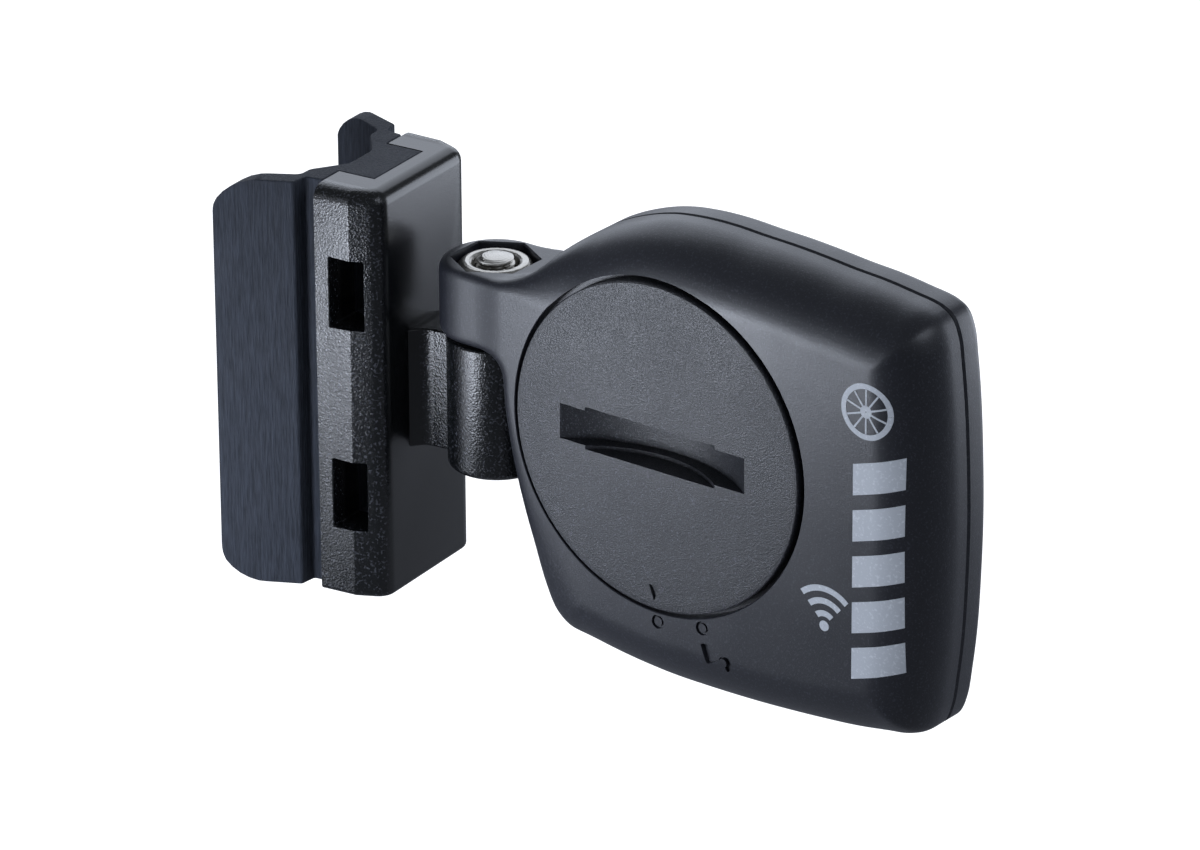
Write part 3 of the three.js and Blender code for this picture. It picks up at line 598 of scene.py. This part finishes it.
POCKET_FLATS, POCKET_FLOOR = 5.98, 8.28
hexagon = np.radians(np.arange(30, 390, 60))
POCKET_CORNER = POCKET_FLATS / math.sqrt(3)
pocket_rings = np.stack([
    np.column_stack([HINGE_X + (POCKET_CORNER + grow) * np.cos(hexagon),
                     (POCKET_CORNER + grow) * np.sin(hexagon), np.full(6, height)])
    for grow, height in ((0, POCKET_FLOOR), (0, ARM_HIGH - 0.12), (0.5, ARM_HIGH + 0.38))
])
combined(shell, skinned("pocket", pocket_rings))
DOT_CIRCLE, DOT_RADIUS, DOT_DEPTH, OPEN_ANGLE = 14.22, 0.5, 0.22, math.radians(16.9)
for angle in (0, OPEN_ANGLE):
    spot = (COVER_X + DOT_CIRCLE * math.sin(angle), COVER_Z - DOT_CIRCLE * math.cos(angle))
    dot = turned("dot", [
        (DOT_RADIUS - 0.14, FRONT_Y + 0.05), (DOT_RADIUS - 0.12, FRONT_Y + DOT_DEPTH),
        (DOT_RADIUS + 0.02, FRONT_Y + DOT_DEPTH), (DOT_RADIUS + 0.12, FRONT_Y - 0.3),
    ], spot, "y", 40)
    combined(shell, dot)
LOCK_NEAR, LOCK_FAR = FRONT_Y - 0.2, FRONT_Y + 0.32
lock_corners = [(34.5, -13.3), (35.7, -13.0), (36.25, -14.25), (35.05, -14.85)]
lock_body = rounded_plan(lock_corners, [0.15] * 4)
combined(shell, engraved("lock_body", lock_body, LOCK_NEAR, LOCK_FAR, 0.06))
sweep = np.radians(np.linspace(150, -60, 16))
LOCK_BOW = (36.55, -14.35)
bow = np.concatenate([
    np.column_stack([LOCK_BOW[0] + r * np.cos(a), LOCK_BOW[1] + r * np.sin(a)])
    for r, a in ((0.78, sweep), (0.36, sweep[::-1]))
])
combined(shell, engraved("lock_bow", bow, LOCK_NEAR, LOCK_FAR, 0.03))
swing_mesh(shell)
dressed(shell, ["front_shell"], "head", 38)

# %% [markdown]
# The back cover is a shallow tray with the same outline. Its rim carries a small chamfer at the
# seam, which shows as a thin bright line beside the dark gap, and a rounded edge at the back.

# %% Back cover
RIM = 0.9
rise = np.linspace(0, np.pi / 2, 8)
rim_insets = np.concatenate([[2.0, 0.45, 0.16, 0.0], RIM * (1 - np.cos(rise)), [RIM + 0.15]])
rim_heights = np.concatenate([
    [SEAM_Y + 0.12] * 3, [SEAM_Y + 0.3], BACK_Y - RIM * (1 - np.sin(rise)), [BACK_Y],
])
back = skinned("back_cover_moulding", outline_rings(rim_insets, rim_heights))
tray = skinned("tray", outline_rings([WALL, WALL, WALL + 0.4], [-1, 2.4, 2.8]))
combined(back, tray)
combined(back, block("arm_gap", (5, -5, ARM_LOW - 0.2), (17.75, 8, ARM_HIGH + 0.2)))
combined(back, turned("lug_gap", [(4.3, -30), (4.3, 30)], (HINGE_X, 0), "z", 96))
label = [(28, -9), (48, -9), (48, 9), (28, 9)]
combined(back, plan_prism(
    "label_field", label, [2.0] * 4, BACK_Y - 0.2, BACK_Y + 1, 0.15, 0.01, along="y",
))
swing_mesh(back)
dressed(back, ["back_cover"], "head", 38)

# %% [markdown]
# The battery cover is a turned disc with a skirt and three lugs behind it. Its coin slot has an
# arc for a floor, as a coin's edge has, and a shallower, wider arc along the middle part.

# %% Battery cover
COVER_FACE, COVER_RADIUS = -4.45, 13.08
bend = np.linspace(0, np.pi / 2, 7)
EDGE = 0.12
disc_profile = np.vstack([
    [2.0, COVER_FACE], [COVER_RADIUS - EDGE - 0.5, COVER_FACE],
    np.column_stack([
        COVER_RADIUS - EDGE * (1 - np.sin(bend)), COVER_FACE + EDGE * (1 - np.cos(bend)),
    ]),
    [COVER_RADIUS, -3.2], [11.9, -3.2], [11.9, -1.1], [10.7, -1.1], [10.7, -3.2], [2.0, -3.2],
])
cover = turned("battery_cover_disc", disc_profile, (COVER_X, COVER_Z), "y", 256)
COIN_MIDDLE, COIN_FLOOR, COIN_DEPTH, COIN_WIDTH = COVER_X - 0.375, 14.0, 2.95, 2.85


def coin(name, middle_x, radius, depth, half_width):
    """A coin-shaped tool on edge, its axis along z, reaching depth behind the cover's face."""
    profile = [(radius * 0.3, COVER_Z - half_width), (radius, COVER_Z - half_width),
               (radius, COVER_Z + half_width), (radius * 0.3, COVER_Z + half_width)]
    return turned(name, profile, (middle_x, COVER_FACE + depth - radius), "z", 512)


boss = coin("boss", COIN_MIDDLE, COIN_FLOOR + 0.7, COIN_DEPTH + 0.7, COIN_WIDTH / 2 + 0.9)
boss_space = block("boss_space", (COVER_X - 10, COVER_FACE + 0.8, -9), (COVER_X + 10, 3, 9))
combined(boss, boss_space, "INTERSECT")
combined(cover, boss, "UNION")
combined(cover, coin("coin_slot", COIN_MIDDLE, COIN_FLOOR, COIN_DEPTH, COIN_WIDTH / 2))
combined(cover, coin("coin_ledge", COVER_X - 0.55, 9.9, 2.05, COIN_WIDTH / 2 + 0.3))
for k in range(3):
    angle = math.radians(30 + 120 * k) + np.radians(np.linspace(-6, 6, 7))
    sector = np.concatenate([
        np.column_stack([COVER_X + r * np.cos(a), COVER_Z + r * np.sin(a)])
        for r, a in ((11.6, angle), (12.5, angle[::-1]))
    ])
    combined(cover, engraved("bayonet", sector, -1.65, -1.1), "UNION")
POINTER_Z = COVER_Z - 12.45
pointer = np.array([
    (COVER_X - 0.15, POINTER_Z), (COVER_X + 0.3, POINTER_Z + 1.2), (COVER_X - 0.65, POINTER_Z + 1.3),
])
middle = pointer.mean(0)
combined(cover, skinned("pointer", np.stack([
    standing(middle + (pointer - middle) * share, y)
    for share, y in ((1.0, COVER_FACE - 0.5), (1.0, COVER_FACE), (0.8, COVER_FACE + 0.22))
])))
swing_mesh(cover)
dressed(cover, ["battery_cover"], "cover", 30)

# %% [markdown]
# The captive nut is a hexagon that a round crown cuts off: at each angle the outside is the
# smaller of the hexagon's radius and the crown's. The screw's end carries a real thread, a
# ridge that climbs by one pitch each turn and fades out towards the tip.

# %% Nut and screw
NUT_FLATS, NUT_LOW, NUT_HIGH = 5.5, 8.4, 10.8


def hexagon_radius(angle, flats):
    """Distance from a hexagon's centre to its side at an angle, flats facing plus and minus x."""
    return flats / 2 / np.cos((angle + np.pi / 6) % (np.pi / 3) - np.pi / 6)


spin = np.linspace(0, 2 * np.pi, 192, endpoint=False)


def round_hinge(radius, height):
    """Rings about the hinge axis, from a radius and a height for every row and angle."""
    return np.stack([HINGE_X + radius * np.cos(spin), radius * np.sin(spin), height], -1)


crown = np.linspace(0, 1, 13)
crown_r = 1.82 + 0.93 * crown
crown_z = NUT_HIGH - 0.26 * np.abs(2 * crown - 1) ** 2.2
nut_rows = np.vstack([
    [1.62, NUT_LOW + 0.2], [1.62, NUT_HIGH - 0.8], [1.75, NUT_HIGH - 0.5],
    np.column_stack([crown_r, crown_z]),
    [2.95, NUT_HIGH - 0.48], [3.3, NUT_HIGH - 0.75], [3.3, NUT_LOW + 0.3],
    [2.75, NUT_LOW], [1.9, NUT_LOW],
])
hexed = np.minimum(nut_rows[:, :1], hexagon_radius(spin, NUT_FLATS)[None, :])
nut_rings = round_hinge(hexed, np.repeat(nut_rows[:, 1:], len(spin), 1))
nut = skinned("captive_nut", nut_rings, turn_head=True, wrap=True)
dressed(nut, ["pivot_nut"], "head", 24)

SCREW_R, SCREW_HEAD_R, SCREW_SEAT, SCREW_END, PITCH = 1.5, 2.7, -3.4, 11.2, 0.5
head_low = SCREW_SEAT - 2.0
head_curve = np.linspace(0, np.pi / 2, 6)
head_rows = np.vstack([
    [0.8, head_low], [SCREW_HEAD_R - 0.7, head_low],
    np.column_stack([
        SCREW_HEAD_R - 0.7 * (1 - np.sin(head_curve)), head_low + 0.7 * (1 - np.cos(head_curve)),
    ]),
    [SCREW_HEAD_R, SCREW_SEAT - 0.05], [SCREW_HEAD_R - 0.05, SCREW_SEAT], [SCREW_R, SCREW_SEAT],
    [SCREW_R, 5.9],
])
thread_z = np.arange(6.0, SCREW_END - 0.12, 0.045)
height = thread_z[:, None] + 0 * spin[None, :]
climb = (height / PITCH - spin[None, :] / (2 * np.pi)) % 1.0
ridge = 1 - np.abs(2 * climb - 1)
fade = ramp(height, 6.0, 6.4) * (1 - 0.4 * ramp(height, SCREW_END - 0.25, SCREW_END - 0.1))
groove = 0.27 * fade * ramp(ridge, 0.05, 0.75)
thread_r = SCREW_R - groove - 0.16 * ramp(height, SCREW_END - 0.3, SCREW_END - 0.1)
shank_r = np.repeat(head_rows[:, :1], len(spin), 1)
shank_z = np.repeat(head_rows[:, 1:], len(spin), 1)
tip_r = np.repeat([[1.12], [0.95], [0.5], [0.1]], len(spin), 1)
tip_rows = [[SCREW_END - 0.1], [SCREW_END - 0.04], [SCREW_END - 0.01], [SCREW_END]]
tip_z = np.repeat(tip_rows, len(spin), 1)
screw = skinned("hinge_screw", round_hinge(
    np.vstack([shank_r, thread_r, tip_r]), np.vstack([shank_z, height, tip_z]),
))
for half_x, half_y in ((1.65, 0.38), (0.38, 1.65)):
    low, high = (HINGE_X - half_x, -half_y, head_low - 1), (HINGE_X + half_x, half_y, head_low + 1.2)
    combined(screw, block("recess", low, high))
dressed(screw, ["pivot_screw"], "screw", 40)

# %% [markdown]
# The printed marks on the right of the head stand in for a maker's word: a spoked wheel, radio
# arcs and a row of slanting speed bars, all generic. Each is a thin printed film that follows
# the dome, worked out from the same edge radius as the shell.


# %% Printed marks
FILM_PROUD, FILM_SUNK = 0.025, 0.03


def dome_y(x, z):
    """Depth of the dome's surface: flat, then a quarter circle within the edge radius."""
    radius = edge_radius(x)
    inside = np.maximum(radius + outline_distance(x, z), 0)
    return FRONT_Y + radius - np.sqrt(np.maximum(radius**2 - inside**2, 0))


def film(x, z):
    """Closed thin body over a (row, column) grid of places: a top sheet and a bottom sheet."""
    y = dome_y(x, z)
    rows, columns = x.shape
    top = np.stack([x, y - FILM_PROUD, z], -1)
    bottom = np.stack([x, y + FILM_SUNK, z], -1)
    loop = np.concatenate([top, bottom[:, ::-1]], 1)
    faces = grid_quads(rows, 2 * columns)
    ends = []
    for row in (0, rows - 1):
        base = row * 2 * columns
        ends += [[base + c, base + c + 1, base + 2 * columns - 2 - c, base + 2 * columns - 1 - c]
                 for c in range(columns - 1)]
    return loop.reshape(-1, 3), faces.tolist() + ends


def bar_film(corners, rows=12, columns=28):
    """A four-cornered patch: corners blended both ways over a grid."""
    a, b, c, d = np.asarray(corners, float)
    s, t = np.meshgrid(np.linspace(0, 1, rows), np.linspace(0, 1, columns), indexing="ij")
    s, t = s[..., None], t[..., None]
    flat = (a * (1 - s) + d * s) * (1 - t) + (b * (1 - s) + c * s) * t
    return film(flat[..., 0], flat[..., 1])


def arc_film(centre, inner, outer, start, end, rows=40):
    """A ring sector: angle along one way of the grid and radius along the other."""
    angle = np.radians(np.linspace(start, end, rows))[:, None]
    radius = np.linspace(inner, outer, 12)[None, :]
    return film(centre[0] + radius * np.cos(angle), centre[1] + radius * np.sin(angle))


marks = []
BAND = (48.4, 52.6)
LEAN = 1.3
BAR_TOP, BAR_PITCH, BAR_TALL = 6.4, 3.7, 2.5
for k in range(5):
    high = BAR_TOP - k * BAR_PITCH
    low = high - BAR_TALL
    marks.append(bar_film([
        (BAND[0], high - LEAN), (BAND[1], high), (BAND[1], low), (BAND[0], low - LEAN),
    ]))
WHEEL, WHEEL_R, SPOKES, SPOKE_HALF = (49.5, 9.5), 2.2, 10, 0.07
marks.append(arc_film(WHEEL, WHEEL_R - 0.42, WHEEL_R, 0, 359.5, 120))
marks.append(arc_film(WHEEL, 0.05, 0.5, 0, 359.5, 60))
for k in range(SPOKES):
    angle = math.radians(36 * k + 18)
    along = np.array([math.cos(angle), math.sin(angle)])
    aside = np.array([-math.sin(angle), math.cos(angle)]) * SPOKE_HALF
    start, end = WHEEL + along * 0.45, WHEEL + along * (WHEEL_R - 0.45)
    marks.append(bar_film([start - aside, start + aside, end + aside, end - aside]))
WAVES = (45.9, -8.6)
for k, radius in enumerate((1.0, 2.0, 3.0)):
    marks.append(arc_film(WAVES, radius - 0.24, radius + 0.24, 48, 132, 24))
marks.append(arc_film(WAVES, 0.02, 0.42, 0, 359.5, 40))
points, faces, count = [], [], 0
for patch_points, patch_faces in marks:
    points.append(patch_points)
    faces += [[index + count for index in face] for face in patch_faces]
    count += len(patch_points)
print_film = piece("printed_marks", np.concatenate(points), faces, turn_head=True)
smoothed(print_film, 30)
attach(print_film, "head")
print("printed marks:", len(marks), "patches,", open_edges(print_film), "open edges")

# %% [markdown]
# Finishes. Spark-eroded moulds leave a fine grain on plastic: many small bumps that catch the
# light here and there. Each effect is a node group, built once, that puts out a height or a
# mask, and each material mixes it in with its own strength.


# %% Node helpers
def new_group(name, inputs, outputs):
    """An empty shader node group with float inputs, and named outputs."""
    group = bpy.data.node_groups.new(name, "ShaderNodeTree")
    for label, value in inputs.items():
        socket = group.interface.new_socket(label, in_out="INPUT", socket_type="NodeSocketFloat")
        socket.default_value = value
    for label in outputs:
        group.interface.new_socket(label, in_out="OUTPUT", socket_type="NodeSocketFloat")
    return group, group.nodes.new("NodeGroupInput"), group.nodes.new("NodeGroupOutput")


def add(tree, kind, **values):
    """Adds a node; values set its properties or, where the name is a socket, its inputs."""
    node = tree.nodes.new(kind)
    for key, value in values.items():
        if hasattr(node, key):
            setattr(node, key, value)
        else:
            node.inputs[key.replace("_", " ")].default_value = value
    return node


def maths(tree, operation, first, second=None, third=None, clamp=False):
    """A Math node fed by sockets or plain numbers."""
    node = tree.nodes.new("ShaderNodeMath")
    node.operation, node.use_clamp = operation, clamp
    for slot, value in enumerate((first, second, third)):
        if isinstance(value, bpy.types.NodeSocket):
            tree.links.new(value, node.inputs[slot])
        elif value is not None:
            node.inputs[slot].default_value = value
    return node.outputs[0]


# %% Moulded grain
grain, grain_in, grain_out = new_group(
    "moulded_grain", {"Cells per mm": 6.0, "Spark": 0.5}, ["Height", "Glint"])
where = add(grain, "ShaderNodeTexCoord")
per_metre = maths(grain, "MULTIPLY", grain_in.outputs["Cells per mm"], 1000.0)
fine = add(grain, "ShaderNodeTexNoise", Detail=2.0, Roughness=0.6)
pits = add(grain, "ShaderNodeTexVoronoi", feature="SMOOTH_F1", Smoothness=0.6)
glints = add(grain, "ShaderNodeTexNoise", Detail=1.0, Roughness=0.5)
for texture in (fine, pits, glints):
    grain.links.new(where.outputs["Object"], texture.inputs["Vector"])
grain.links.new(per_metre, fine.inputs["Scale"])
grain.links.new(maths(grain, "MULTIPLY", per_metre, 1.3), pits.inputs["Scale"])
grain.links.new(maths(grain, "MULTIPLY", per_metre, 0.8), glints.inputs["Scale"])
pit_depth = maths(grain, "MULTIPLY", pits.outputs["Distance"], grain_in.outputs["Spark"])
grain.links.new(maths(grain, "ADD", fine.outputs["Fac"], pit_depth), grain_out.inputs["Height"])
over = maths(grain, "SUBTRACT", glints.outputs["Fac"], 0.56)
bright = maths(grain, "MULTIPLY", over, 6.0, clamp=True)
grain.links.new(bright, grain_out.inputs["Glint"])

# %% Handling, brushing and machining
handling, handling_in, handling_out = new_group(
    "handling", {"Patches per cm": 2.0}, ["Sheen change"])
where = add(handling, "ShaderNodeTexCoord")
patches = add(handling, "ShaderNodeTexNoise", Detail=3.0, Roughness=0.55)
handling.links.new(where.outputs["Object"], patches.inputs["Vector"])
handling.links.new(maths(handling, "MULTIPLY", handling_in.outputs["Patches per cm"], 100.0),
                   patches.inputs["Scale"])
handling.links.new(maths(handling, "SUBTRACT", patches.outputs["Fac"], 0.5),
                   handling_out.inputs["Sheen change"])

brushing, brushing_in, brushing_out = new_group(
    "brushed_lines", {"Lines per mm": 7.0, "Length mm": 2.0}, ["Line"])
where = add(brushing, "ShaderNodeTexCoord")
apart = add(brushing, "ShaderNodeSeparateXYZ")
brushing.links.new(where.outputs["Object"], apart.inputs[0])
thin = maths(brushing, "MULTIPLY", brushing_in.outputs["Lines per mm"], 1000.0)
long = maths(brushing, "DIVIDE", 1000.0, brushing_in.outputs["Length mm"])
together = add(brushing, "ShaderNodeCombineXYZ")
for label, scale in (("X", thin), ("Y", thin), ("Z", long)):
    stretched = maths(brushing, "MULTIPLY", apart.outputs[label], scale)
    brushing.links.new(stretched, together.inputs[label])
strokes = add(brushing, "ShaderNodeTexNoise", Scale=1.0, Detail=3.0, Roughness=0.65)
brushing.links.new(together.outputs[0], strokes.inputs["Vector"])
brushing.links.new(strokes.outputs["Fac"], brushing_out.inputs["Line"])

machining, machining_in, machining_out = new_group(
    "machined_marks", {"Rings per mm": 9.0}, ["Mark", "Stain"])
where = add(machining, "ShaderNodeTexCoord")
centred = add(machining, "ShaderNodeMapping")
centred.inputs["Location"].default_value = (-HINGE_X * MM, 0, 0)
machining.links.new(where.outputs["Object"], centred.inputs["Vector"])
rings = add(machining, "ShaderNodeTexWave", wave_type="RINGS", rings_direction="Z",
            Distortion=3.0, Detail=3.0, Detail_Scale=2.0)
machining.links.new(centred.outputs[0], rings.inputs["Vector"])
machining.links.new(maths(machining, "MULTIPLY", machining_in.outputs["Rings per mm"], 160.0),
                    rings.inputs["Scale"])
stain = add(machining, "ShaderNodeTexNoise", Scale=1400.0, Detail=4.0, Roughness=0.6)
machining.links.new(where.outputs["Object"], stain.inputs["Vector"])
machining.links.new(rings.outputs["Fac"], machining_out.inputs["Mark"])
machining.links.new(stain.outputs["Fac"], machining_out.inputs["Stain"])
print("effect groups:", [group.name for group in bpy.data.node_groups])


# %% Materials from the groups
def new_material(name, roughness, metallic=0.0, specular=0.5):
    """A node material; returns its tree and its Principled BSDF."""
    material = bpy.data.materials.new(name)
    material.use_nodes = True
    shader = material.node_tree.nodes["Principled BSDF"]
    shader.inputs["Roughness"].default_value = roughness
    shader.inputs["Metallic"].default_value = metallic
    shader.inputs["Specular IOR Level"].default_value = specular
    return material, material.node_tree, shader


def place_group(tree, group, **values):
    """Puts a shared effect into a material, with its own values."""
    node = tree.nodes.new("ShaderNodeGroup")
    node.node_tree = group
    for key, value in values.items():
        node.inputs[key.replace("_", " ")].default_value = value
    return node


def colour_between(tree, share, first, second):
    """A Mix node from one colour to another, led by a mask."""
    node = tree.nodes.new("ShaderNodeMix")
    node.data_type = "RGBA"
    tree.links.new(share, node.inputs["Factor"])
    node.inputs[6].default_value = (*first, 1)
    node.inputs[7].default_value = (*second, 1)
    return node.outputs[2]


def bump_from(tree, shader, height, millimetres):
    """A Bump node whose height is given in millimetres of relief."""
    node = tree.nodes.new("ShaderNodeBump")
    node.inputs["Distance"].default_value = millimetres * MM
    node.inputs["Strength"].default_value = 1.0
    tree.links.new(height, node.inputs["Height"])
    tree.links.new(node.outputs["Normal"], shader.inputs["Normal"])


def varied_roughness(tree, shader, change, middle, amount):
    """Roughness that moves about its middle value with a mask around zero."""
    tree.links.new(maths(tree, "MULTIPLY_ADD", change, amount, middle), shader.inputs["Roughness"])


def moulded_plastic(name, dark, light, roughness, cells, spark, relief, specular=0.5):
    """Grained moulded plastic: relief from the grain, glints in its colour, and handling."""
    material, tree, shader = new_material(name, roughness, specular=specular)
    texture = place_group(tree, grain, Cells_per_mm=cells, Spark=spark)
    wear = place_group(tree, handling, Patches_per_cm=1.5)
    colour = colour_between(tree, texture.outputs["Glint"], dark, light)
    tree.links.new(colour, shader.inputs["Base Color"])
    varied_roughness(tree, shader, wear.outputs["Sheen change"], roughness, 0.16)
    bump_from(tree, shader, texture.outputs["Height"], relief)
    return material


housing = moulded_plastic(
    "housing_plastic", (0.013, 0.014, 0.019), (0.032, 0.034, 0.044), 0.38, 8.0, 0.4, 0.009)
cover_finish = moulded_plastic(
    "cover_plastic", (0.011, 0.012, 0.015), (0.062, 0.064, 0.078), 0.40, 9.0, 0.9, 0.024)
print("head finishes:", housing.name, cover_finish.name)

# %% [markdown]
# The bracket's sides, web and lug are grained, and its ends and the face behind the hinge are
# smooth. A mask from the position tells them apart: one beside a given width or beyond a given
# reach, and zero elsewhere. The rubber has lines along the fork instead of grain.

# %% Bracket and rubber
SIDE_Y, LUG_X, SHARPNESS = 0.0052, 0.0061, 2500.0
bracket_finish, tree, shader = new_material("bracket_plastic", 0.24)
texture = place_group(tree, grain, Cells_per_mm=5.5, Spark=0.8)
wear = place_group(tree, handling, Patches_per_cm=1.5)
coordinates = add(tree, "ShaderNodeTexCoord")
apart = add(tree, "ShaderNodeSeparateXYZ")
tree.links.new(coordinates.outputs["Object"], apart.inputs[0])
past_side = maths(tree, "SUBTRACT", maths(tree, "ABSOLUTE", apart.outputs["Y"]), SIDE_Y)
past_face = maths(tree, "SUBTRACT", apart.outputs["X"], LUG_X)
beside, beyond = (
    maths(tree, "MULTIPLY", past, SHARPNESS, clamp=True) for past in (past_side, past_face)
)
grained = maths(tree, "MAXIMUM", beside, beyond)
glint = maths(tree, "MULTIPLY", texture.outputs["Glint"], grained)
colour = colour_between(tree, glint, (0.0020, 0.0025, 0.003), (0.038, 0.040, 0.047))
tree.links.new(colour, shader.inputs["Base Color"])
varied_roughness(tree, shader, wear.outputs["Sheen change"], 0.24, 0.10)
depth_share = maths(tree, "MULTIPLY_ADD", grained, 0.9, 0.1)
relief = maths(tree, "MULTIPLY", texture.outputs["Height"], depth_share)
bump_from(tree, shader, relief, 0.026)

rubber, tree, shader = new_material("pad_rubber", 0.7, specular=0.22)
lines = place_group(tree, brushing, Lines_per_mm=6.0, Length_mm=2.0)
colour = colour_between(tree, lines.outputs["Line"], (0.000, 0.0005, 0.001), (0.052, 0.060, 0.080))
tree.links.new(colour, shader.inputs["Base Color"])
wear = place_group(tree, handling, Patches_per_cm=2.5)
varied_roughness(tree, shader, wear.outputs["Sheen change"], 0.7, 0.2)
bump_from(tree, shader, lines.outputs["Line"], 0.09)
print("bracket finishes:", bracket_finish.name, rubber.name)


# %% Metals and small parts
def plain_metal(name, dark, light, roughness, relief, rings_per_mm=9.0):
    """Plated or rolled metal: ring marks, a faint stain in the colour, and handling."""
    material, tree, shader = new_material(name, roughness, metallic=1.0)
    marks = place_group(tree, machining, Rings_per_mm=rings_per_mm)
    colour = colour_between(tree, marks.outputs["Stain"], dark, light)
    tree.links.new(colour, shader.inputs["Base Color"])
    change = maths(tree, "SUBTRACT", marks.outputs["Stain"], 0.5)
    varied_roughness(tree, shader, change, roughness, 0.3)
    bump_from(tree, shader, marks.outputs["Mark"], relief)
    return material


zinc = plain_metal("zinc_steel", (0.20, 0.19, 0.17), (0.56, 0.54, 0.50), 0.30, 0.010)
cell_steel = plain_metal("cell_steel", (0.62, 0.62, 0.61), (0.80, 0.80, 0.79), 0.22, 0.001, 3.0)
contact_metal = plain_metal("contact_metal", (0.50, 0.40, 0.22), (0.68, 0.56, 0.34), 0.30, 0.001, 3.0)
seal_rubber = moulded_plastic(
    "seal_rubber", (0.010, 0.010, 0.010), (0.022, 0.022, 0.022), 0.6, 8.0, 0.2, 0.002)
gasket_plastic = moulded_plastic(
    "gasket_plastic", (0.55, 0.53, 0.47), (0.68, 0.66, 0.60), 0.5, 6.0, 0.2, 0.002)
laminate = moulded_plastic(
    "board_laminate", (0.010, 0.085, 0.035), (0.020, 0.130, 0.055), 0.38, 1.6, 0.2, 0.003)
chip_plastic = moulded_plastic(
    "chip_plastic", (0.012, 0.012, 0.013), (0.030, 0.030, 0.032), 0.55, 9.0, 0.3, 0.003)
ceramic = moulded_plastic(
    "ceramic", (0.33, 0.21, 0.12), (0.45, 0.31, 0.19), 0.45, 9.0, 0.3, 0.002)
ink = moulded_plastic("print_ink", (0.50, 0.53, 0.57), (0.62, 0.65, 0.69), 0.5, 5.5, 0.4, 0.004)
glass, tree, shader = new_material("reed_glass", 0.06)
shader.inputs["Transmission Weight"].default_value = 1.0
texture = place_group(tree, handling, Patches_per_cm=8.0)
colour = colour_between(
    tree, texture.outputs["Sheen change"], (0.72, 0.86, 0.76), (0.80, 0.92, 0.84))
tree.links.new(colour, shader.inputs["Base Color"])
print("materials:", len(bpy.data.materials))

# %% [markdown]
# Each made piece takes its finish, and so does every node that is carried over from the frame
# as it is: the parts inside the head, which only show when the head is opened.

# %% Finishes on the pieces
for target, finish in (
    (bracket, bracket_finish), (pad, rubber), (shell, housing), (back, housing),
    (cover, cover_finish), (nut, zinc), (screw, zinc), (print_film, ink),
):
    target.data.materials.clear()
    target.data.materials.append(finish)
carried = {
    "battery_cover_seal": seal_rubber, "coin_cell_can": cell_steel, "coin_cell_cap": cell_steel,
    "coin_cell_gasket": gasket_plastic, "battery_contact_positive": contact_metal,
    "battery_contact_negative": contact_metal, "circuit_board": laminate,
    "board_screw_upper": zinc, "board_screw_lower": zinc, "reed_switch_glass": glass,
    "reed_lead_upper": cell_steel, "reed_lead_lower": cell_steel, "microcontroller": chip_plastic,
    "radio_crystal": cell_steel, "chip_antenna": ceramic, "capacitor_1": ceramic,
    "capacitor_2": ceramic, "capacitor_3": ceramic,
}
for node_name, finish in carried.items():
    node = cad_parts[node_name]
    for slot_index in range(len(node.material_slots)):
        node.material_slots[slot_index].material = finish
print("carried over:", len(carried), "nodes")

# %% [markdown]
# The studio has a pale floor well below the part and a pale surround that fills the rest. Of the
# six lamps, two are broad and high, behind and to the right. One large card behind lights the
# edges. Three small ones in front mirror in the bracket's side, the cover and the front.

# %% Floor, lights and surround
FLOOR_Z = -60.0
floor_mesh = bpy.data.meshes.new("floor")
reach = 3.0
floor_corners = [(x * reach, y * reach, FLOOR_Z * MM) for x, y in ((-1, -1), (1, -1), (1, 1), (-1, 1))]
floor_mesh.from_pydata(floor_corners, [], [(0, 1, 2, 3)])
floor = bpy.data.objects.new("floor", floor_mesh)
bpy.context.scene.collection.objects.link(floor)
floor_finish, tree, shader = new_material("floor", 0.9)
shader.inputs["Base Color"].default_value = (0.30, 0.30, 0.31, 1)
shader.inputs["Emission Color"].default_value = (1, 1, 1, 1)
seen = tree.nodes.new("ShaderNodeLightPath")
tree.links.new(seen.outputs["Is Camera Ray"], shader.inputs["Emission Strength"])
floor_mesh.materials.append(floor_finish)


def area_light(name, spot, size, power):
    """A rectangular lamp at a point in millimetres, facing the middle of the part."""
    way = (np.array(spot) - TARGET) / np.linalg.norm(np.array(spot) - TARGET)
    lamp = bpy.data.objects.new(name, bpy.data.lights.new(name, "AREA"))
    lamp.data.shape, lamp.data.size, lamp.data.size_y = "RECTANGLE", size[0], size[1]
    lamp.data.energy = power
    lamp.data.color = (0.82, 0.88, 1.0)
    lamp.visible_camera = False
    bpy.context.scene.collection.objects.link(lamp)
    aim = Vector((-way).tolist()).to_track_quat("-Z", "Y").to_matrix().to_4x4()
    lamp.matrix_world = Matrix.Translation((np.array(spot) * MM).tolist()) @ aim


for name, spot, size, power in (
    ("strip_card", (-38, -59, -26), (0.016, 0.046), 0.011),
    ("cover_card", (-10, -59, -8), (0.022, 0.022), 0.032),
    ("front_fill", (-110, -190, 10), (0.15, 0.15), 0.08),
    ("back_right_card", (150, 190, -20), (0.14, 0.22), 0.42),
    ("overhead", (-160, 270, 190), (0.5, 0.4), 1.05),
    ("upper_right", (420, -70, 290), (0.25, 0.25), 0.55),
):
    area_light(name, spot, size, power)

world = bpy.data.worlds.new("surround")
bpy.context.scene.world = world
world.use_nodes = True
surround = world.node_tree.nodes["Background"]
surround.inputs["Color"].default_value = (0.84, 0.90, 1.0, 1)
seen = world.node_tree.nodes.new("ShaderNodeLightPath")
SEEN_EXTRA, FILL = 0.9, 0.22
strength = maths(world.node_tree, "MULTIPLY_ADD", seen.outputs["Is Camera Ray"], SEEN_EXTRA, FILL)
world.node_tree.links.new(strength, surround.inputs["Strength"])
bpy.context.scene.view_settings.view_transform = "Standard"
